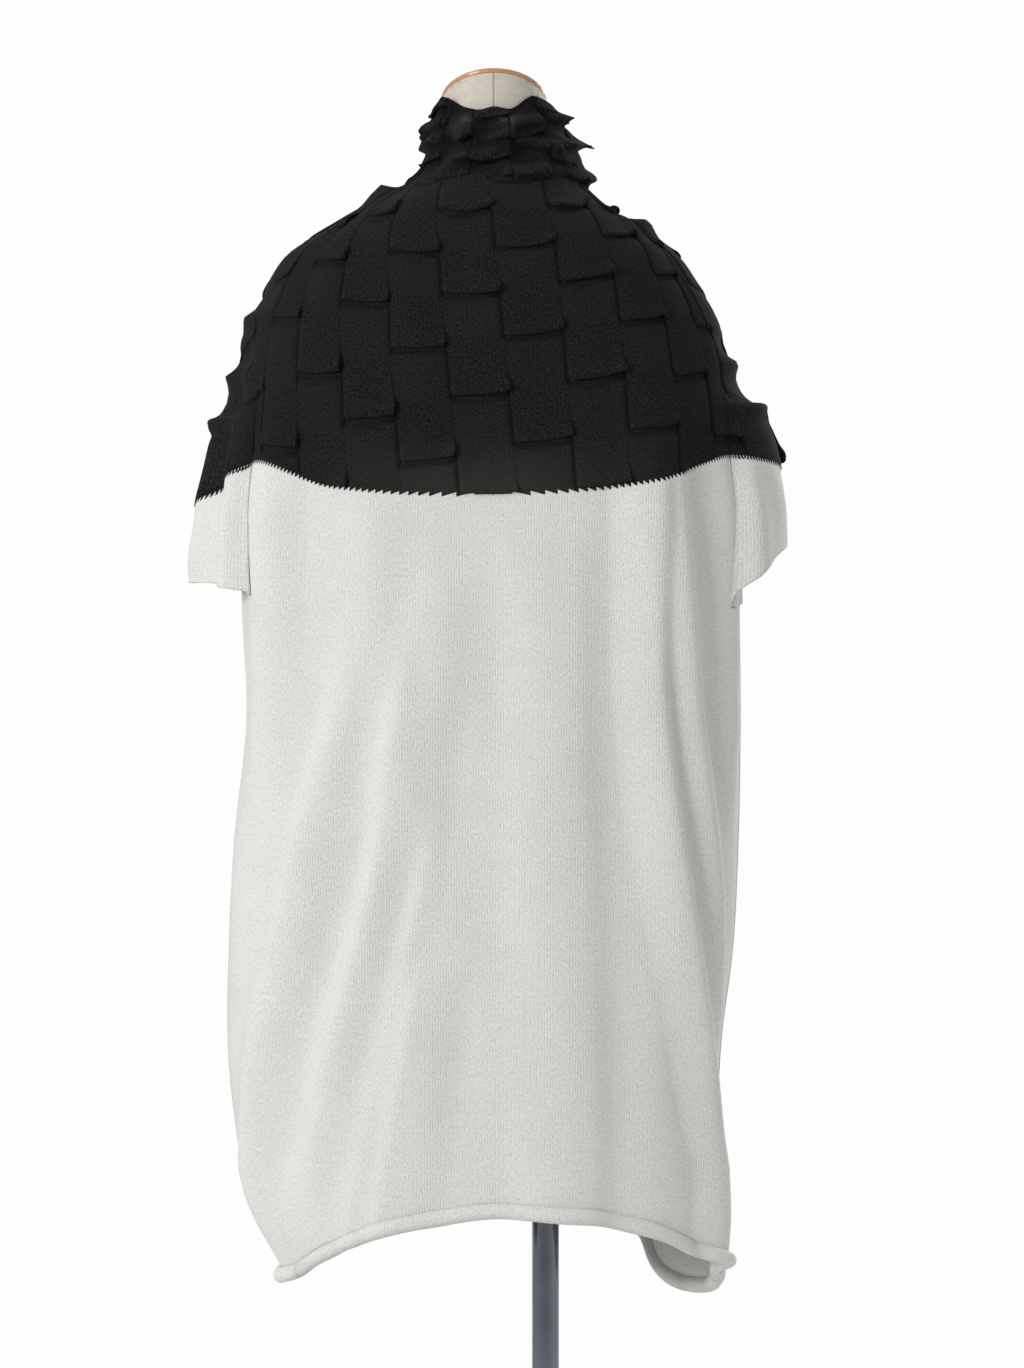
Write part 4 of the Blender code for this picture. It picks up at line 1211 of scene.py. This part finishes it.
# %% Knit finish
WALE = 0.0026              # width of a drawn column of stitches
COURSE = 0.0021            # height of a drawn row of stitches
TOOTH_START = 0.018        # m from the panel's middle to the first step of the colour change
TOOTH_PITCH = 0.020        # width of the first steps, which get narrower to the sides
TOOTH_CROWD = 440.0        # how fast they do, in steps for each square metre
TOOTH_HEIGHT = (0.0042, 0.0046)
TOOTH_REACH = 0.20         # m from the first step to where they are at their highest
YARN_HAIR = 0.0018         # size of the yarn's drawn hairs; real ones are far finer
OPEN_STITCH = 0.0021       # distance of the drawn gaps where the knit is thin
CLOUD = 0.045              # size of the faint clouds in the white yarn


def wave_scale(period):
    """The Wave texture's scale for a band every so many metres."""
    return math.tau / 20 / period


def knit_finish():
    """Black and white cotton jersey."""
    finish, tree, shader = new_finish("cotton_jersey", Roughness=0.95, Specular_IOR_Level=0.10)
    shader.inputs["Sheen Weight"].default_value = 0.03
    shader.inputs["Sheen Roughness"].default_value = 0.5
    cloth = node(tree, "UVMap")
    marks = {name: node(tree, "Attribute", output="Fac", attribute_name=name)
             for name in ("above_edge", "along_edge", "sheer", "purl", "deep")}

    # The colour change: steps that get narrower to the sides, none in the middle.
    from_middle = node(tree, "Math", [marks["along_edge"]], operation="ABSOLUTE")
    out = node(tree, "Math", [from_middle, TOOTH_START], operation="SUBTRACT")
    out = node(tree, "Math", [out, 0.0], operation="MAXIMUM")
    even = node(tree, "Math", [out, 1 / TOOTH_PITCH, -0.001], operation="MULTIPLY_ADD")
    squared = node(tree, "Math", [out, 2.0], operation="POWER")
    steps = node(tree, "Math", [squared, TOOTH_CROWD, even], operation="MULTIPLY_ADD")
    part = node(tree, "Math", [steps], operation="FRACT")
    saw = node(tree, "Math", [0.5, part], operation="SUBTRACT")
    off_middle = node(tree, "Math", [out, 0.0], operation="GREATER_THAN")
    saw = node(tree, "Math", [saw, off_middle], operation="MULTIPLY")
    height = node(tree, "MapRange", [out, 0.0, TOOTH_REACH, *TOOTH_HEIGHT])
    tooth = node(tree, "Math", [saw, height], operation="MULTIPLY")
    over = node(tree, "Math", [marks["above_edge"], tooth], operation="SUBTRACT")
    is_black = node(tree, "Math", [over, 0.0], operation="GREATER_THAN")

    # The stitches: columns and rows, and the hairs of the yarn over them.
    wave = {"Vector": cloth, "Scale": wave_scale(WALE), "Distortion": 0.0}
    wales = node(tree, "TexWave", wave, "Fac", bands_direction="X")
    wave = {"Vector": cloth, "Scale": wave_scale(COURSE), "Distortion": 3.0}
    wave.update({"Detail": 1.0, "Detail Scale": 2.0})
    courses = node(tree, "TexWave", wave, "Fac", bands_direction="Y")
    tall_cloth = node(tree, "Mapping", {"Vector": cloth, "Scale": (1.0, 0.6, 1.0)})
    noise = {"Vector": tall_cloth, "Scale": 1 / YARN_HAIR, "Detail": 3.0, "Roughness": 0.7}
    yarn = node(tree, "TexNoise", noise, "Fac")
    stitches = node(tree, "Math", [courses, 0.20], operation="MULTIPLY")
    stitches = node(tree, "Math", [wales, 0.30, stitches], operation="MULTIPLY_ADD")
    stitches = node(tree, "Math", [yarn, 1.7, stitches], operation="MULTIPLY_ADD")
    speck = node(tree, "MapRange", [yarn, 0.38, 0.64])
    in_wale = node(tree, "Math", [wales, 0.35, 0.65], operation="MULTIPLY_ADD")
    speck = node(tree, "Math", [speck, in_wale], operation="MULTIPLY")

    # The black yarn: lighter specks, turned blocks, thin places, and painted shade in creases and hollows.
    black = node(tree, "Mix", {0: speck, 6: linear("0B0B0C"), 7: linear("2C2C2D")}, 2, data_type="RGBA")
    turned_share = node(tree, "Math", [marks["purl"], 0.12], operation="MULTIPLY")
    black = node(tree, "Mix", {0: turned_share, 6: black, 7: linear("2C2C2E")}, 2, data_type="RGBA")
    gaps = node(tree, "TexVoronoi", {"Vector": cloth, "Scale": 1 / OPEN_STITCH}, "Distance")
    gap = node(tree, "MapRange", [gaps, 0.42, 0.62])
    open_knit = node(tree, "MapRange", [marks["sheer"], 0.8, 1.8, 0.0, 0.6])
    seen = node(tree, "Math", [gap, open_knit], operation="MULTIPLY")
    veil = node(tree, "Math", [marks["sheer"], 0.50], operation="MULTIPLY")
    veiled = node(tree, "Mix", {0: veil, 6: black, 7: linear("45433C")}, 2, data_type="RGBA")
    black = node(tree, "Mix", {0: seen, 6: veiled, 7: linear("96938A")}, 2, data_type="RGBA")
    # Painted shade: the deep mark draws creases and hollows almost black.
    depth = node(tree, "Math", [marks["deep"], 0.80], operation="MULTIPLY")
    black = node(tree, "Mix", {0: depth, 6: black, 7: linear("060606")}, 2, data_type="RGBA")

    # The white yarn: faintly clouded, with darker specks between the stitches.
    cloud = node(tree, "TexNoise", {"Vector": cloth, "Scale": 1 / CLOUD, "Detail": 2.0}, "Fac")
    patch = node(tree, "MapRange", [cloud, 0.3, 0.7])
    white = node(tree, "Mix", {0: patch, 6: linear("EBEBE7"), 7: linear("E7E7E3")}, 2, data_type="RGBA")
    dark = node(tree, "Math", [speck, 0.80], operation="MULTIPLY")
    white = node(tree, "Mix", {0: dark, 6: white, 7: linear("CFCEC9")}, 2, data_type="RGBA")

    colour = node(tree, "Mix", {0: is_black, 6: white, 7: black}, 2, data_type="RGBA")
    tree.links.new(colour, shader.inputs["Base Color"])
    bump = node(tree, "Bump", {"Height": stitches, "Distance": 0.0007, "Strength": 1.0})
    tree.links.new(bump, shader.inputs["Normal"])
    return finish


JERSEY = knit_finish()
print("finish:", JERSEY.name, "with", len(JERSEY.node_tree.nodes), "nodes")

# %% [markdown]
# ### Linen, beech and chrome
#
# The form's cover is plain woven linen, a little uneven in its threads, with a seam down its
# middle, at the back and the front. The cap on the neck is lacquered beech. The stand is
# chromed steel, a slightly dulled mirror, so it shows mostly the studio.

# %% Linen, beech and chrome finishes
THREAD = 0.0022            # drawn thread spacing; real linen has about 0.7 mm
SLUB = 0.006               # size of the thick and thin places in its threads
SEAM_EDGES = (0.0003, 0.0012)
WEAR = 0.03                # size of the duller patches on the chrome
CHROME_ROUGHNESS = (0.10, 0.24)


def linen_finish():
    """Plain linen weave with a seam down its middle, at the back and the front."""
    finish, tree, shader = new_finish("woven_linen", Roughness=0.88, Specular_IOR_Level=0.3)
    place = node(tree, "TexCoord", output="Object")
    wave = {"Vector": place, "Scale": wave_scale(THREAD), "Distortion": 1.2}
    wave.update({"Detail": 1.0, "Detail Scale": 3.0})
    over = node(tree, "TexWave", wave, "Fac", bands_direction="X")
    under = node(tree, "TexWave", wave, "Fac", bands_direction="Z")
    half = node(tree, "Math", [under, 0.5], operation="MULTIPLY")
    weave = node(tree, "Math", [over, 0.5, half], operation="MULTIPLY_ADD")
    slub = node(tree, "TexNoise", {"Vector": place, "Scale": 1 / SLUB, "Detail": 4.0}, "Fac")
    colour = node(tree, "Mix", {0: slub, 6: linear("C0B9A8"), 7: linear("E0DACE")}, 2, data_type="RGBA")
    share = node(tree, "Math", [weave, 0.35], operation="MULTIPLY")
    colour = node(tree, "Mix", {0: share, 6: colour, 7: linear("CAC3B3")}, 2, data_type="RGBA")
    x = node(tree, "SeparateXYZ", [place], "X")
    from_axis = node(tree, "Math", [x, FORM_X], operation="SUBTRACT")
    off_seam = node(tree, "Math", [from_axis], operation="ABSOLUTE")
    seam = node(tree, "MapRange", [off_seam, *SEAM_EDGES, 0.75, 0.0])
    colour = node(tree, "Mix", {0: seam, 6: colour, 7: linear("8F8670")}, 2, data_type="RGBA")
    tree.links.new(colour, shader.inputs["Base Color"])
    sunk = node(tree, "Math", [seam, 1.5], operation="MULTIPLY")
    height = node(tree, "Math", [weave, sunk], operation="SUBTRACT")
    bump = node(tree, "Bump", {"Height": height, "Distance": 0.0005, "Strength": 0.6})
    tree.links.new(bump, shader.inputs["Normal"])
    return finish


def beech_finish():
    """Lacquered beech, its grain along X."""
    finish, tree, shader = new_finish("lacquered_beech", Roughness=0.42)
    shader.inputs["Coat Weight"].default_value = 0.25
    place = node(tree, "TexCoord", output="Object")
    stretched = node(tree, "Mapping", {"Vector": place, "Scale": (12.0, 90.0, 90.0)})
    noise = {"Vector": stretched, "Scale": 5.0, "Detail": 5.0, "Distortion": 0.6}
    grain = node(tree, "TexNoise", noise, "Fac")
    colour = node(tree, "Mix", {0: grain, 6: linear("A9714B"), 7: linear("D6A27C")}, 2, data_type="RGBA")
    tree.links.new(colour, shader.inputs["Base Color"])
    bump = node(tree, "Bump", {"Height": grain, "Distance": 0.0003, "Strength": 0.3})
    tree.links.new(bump, shader.inputs["Normal"])
    return finish


def chrome_finish():
    """Chromed steel with faint wear in its gloss."""
    finish, tree, shader = new_finish("chromed_steel", Metallic=1.0)
    place = node(tree, "TexCoord", output="Object")
    wear = node(tree, "TexNoise", {"Vector": place, "Scale": 1 / WEAR, "Detail": 6.0}, "Fac")
    gloss = node(tree, "MapRange", [wear, 0.0, 1.0, *CHROME_ROUGHNESS])
    tree.links.new(gloss, shader.inputs["Roughness"])
    colour = node(tree, "Mix", {0: wear, 6: linear("6F757E"), 7: linear("848A92")}, 2, data_type="RGBA")
    tree.links.new(colour, shader.inputs["Base Color"])
    return finish


LINEN = linen_finish()
BEECH = beech_finish()
CHROME = chrome_finish()
print("finishes:", [finish.name for finish in (LINEN, BEECH, CHROME)])


# %% [markdown]
# ## The stage
#
# A pale round floor lies under the stand, and fades out towards its rim. It is too small to
# reach into the picture, where only the white studio shows behind the tunic.

# %% Floor
FLOOR_RADIUS = 1.6
FLOOR_Z = -0.0005          # just under the base, so that the two faces aren't in one plane
FADE = (0.7, FLOOR_RADIUS * 0.97)


def floor():
    """A pale matt disc under the stand."""
    clear_selection()
    bpy.ops.mesh.primitive_circle_add(
        vertices=128, radius=FLOOR_RADIUS, fill_type="NGON", location=(0, 0, FLOOR_Z)
    )
    made = bpy.context.object
    made.name = "studio_floor"
    finish, tree, shader = new_finish("painted_floor", Roughness=0.8)
    place = node(tree, "TexCoord", output="Object")
    cloud = node(tree, "TexNoise", {"Vector": place, "Scale": 3.0, "Detail": 2.0}, "Fac")
    colour = node(tree, "Mix", {0: cloud, 6: linear("EFEEEC"), 7: linear("F3F2F0")}, 2, data_type="RGBA")
    tree.links.new(colour, shader.inputs["Base Color"])
    from_middle = node(tree, "VectorMath", [place], "Value", operation="LENGTH")
    fading = node(tree, "MapRange", [from_middle, *FADE, 1.0, 0.0])
    tree.links.new(fading, shader.inputs["Alpha"])
    made.data.materials.append(finish)


floor()
print("floor", FLOOR_RADIUS * 2, "m across")

# %% [markdown]
# ## What each piece stands for
#
# Every fine piece rides on the one rigid body, takes the place of its solid, and gets its
# finish. Each row also names a slot, which nothing here reads.

# %% Pieces and their solids
PIECES = [
    (back_yoke, "back_yoke", "black_knit", JERSEY),
    (front_yoke, "front_yoke", "black_knit", JERSEY),
    (collar, "collar", "black_knit", JERSEY),
    (back_body, "back_body", "white_knit", JERSEY),
    (front_body, "front_body", "white_knit", JERSEY),
    (back_hem, "back_hem", "white_knit", JERSEY),
    (front_hem, "front_hem", "white_knit", JERSEY),
    (left_sleeve, "left_sleeve", "white_knit", JERSEY),
    (right_sleeve, "right_sleeve", "white_knit", JERSEY),
    (form_cover, "form_torso", "linen", LINEN),
    (cap, "neck_cap", "wood", BEECH),
    (pole, "pole", "chrome", CHROME),
    (socket, "form_flange", "chrome", CHROME),
    (foot, "base_plate", "chrome", CHROME),
]
for piece, solid, slot, finish in PIECES:
    piece.data.materials.clear()
    piece.data.materials.append(finish)
    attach(piece, "root")
    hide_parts(solid)
print(len(PIECES), "pieces replace", len(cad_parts), "solids")
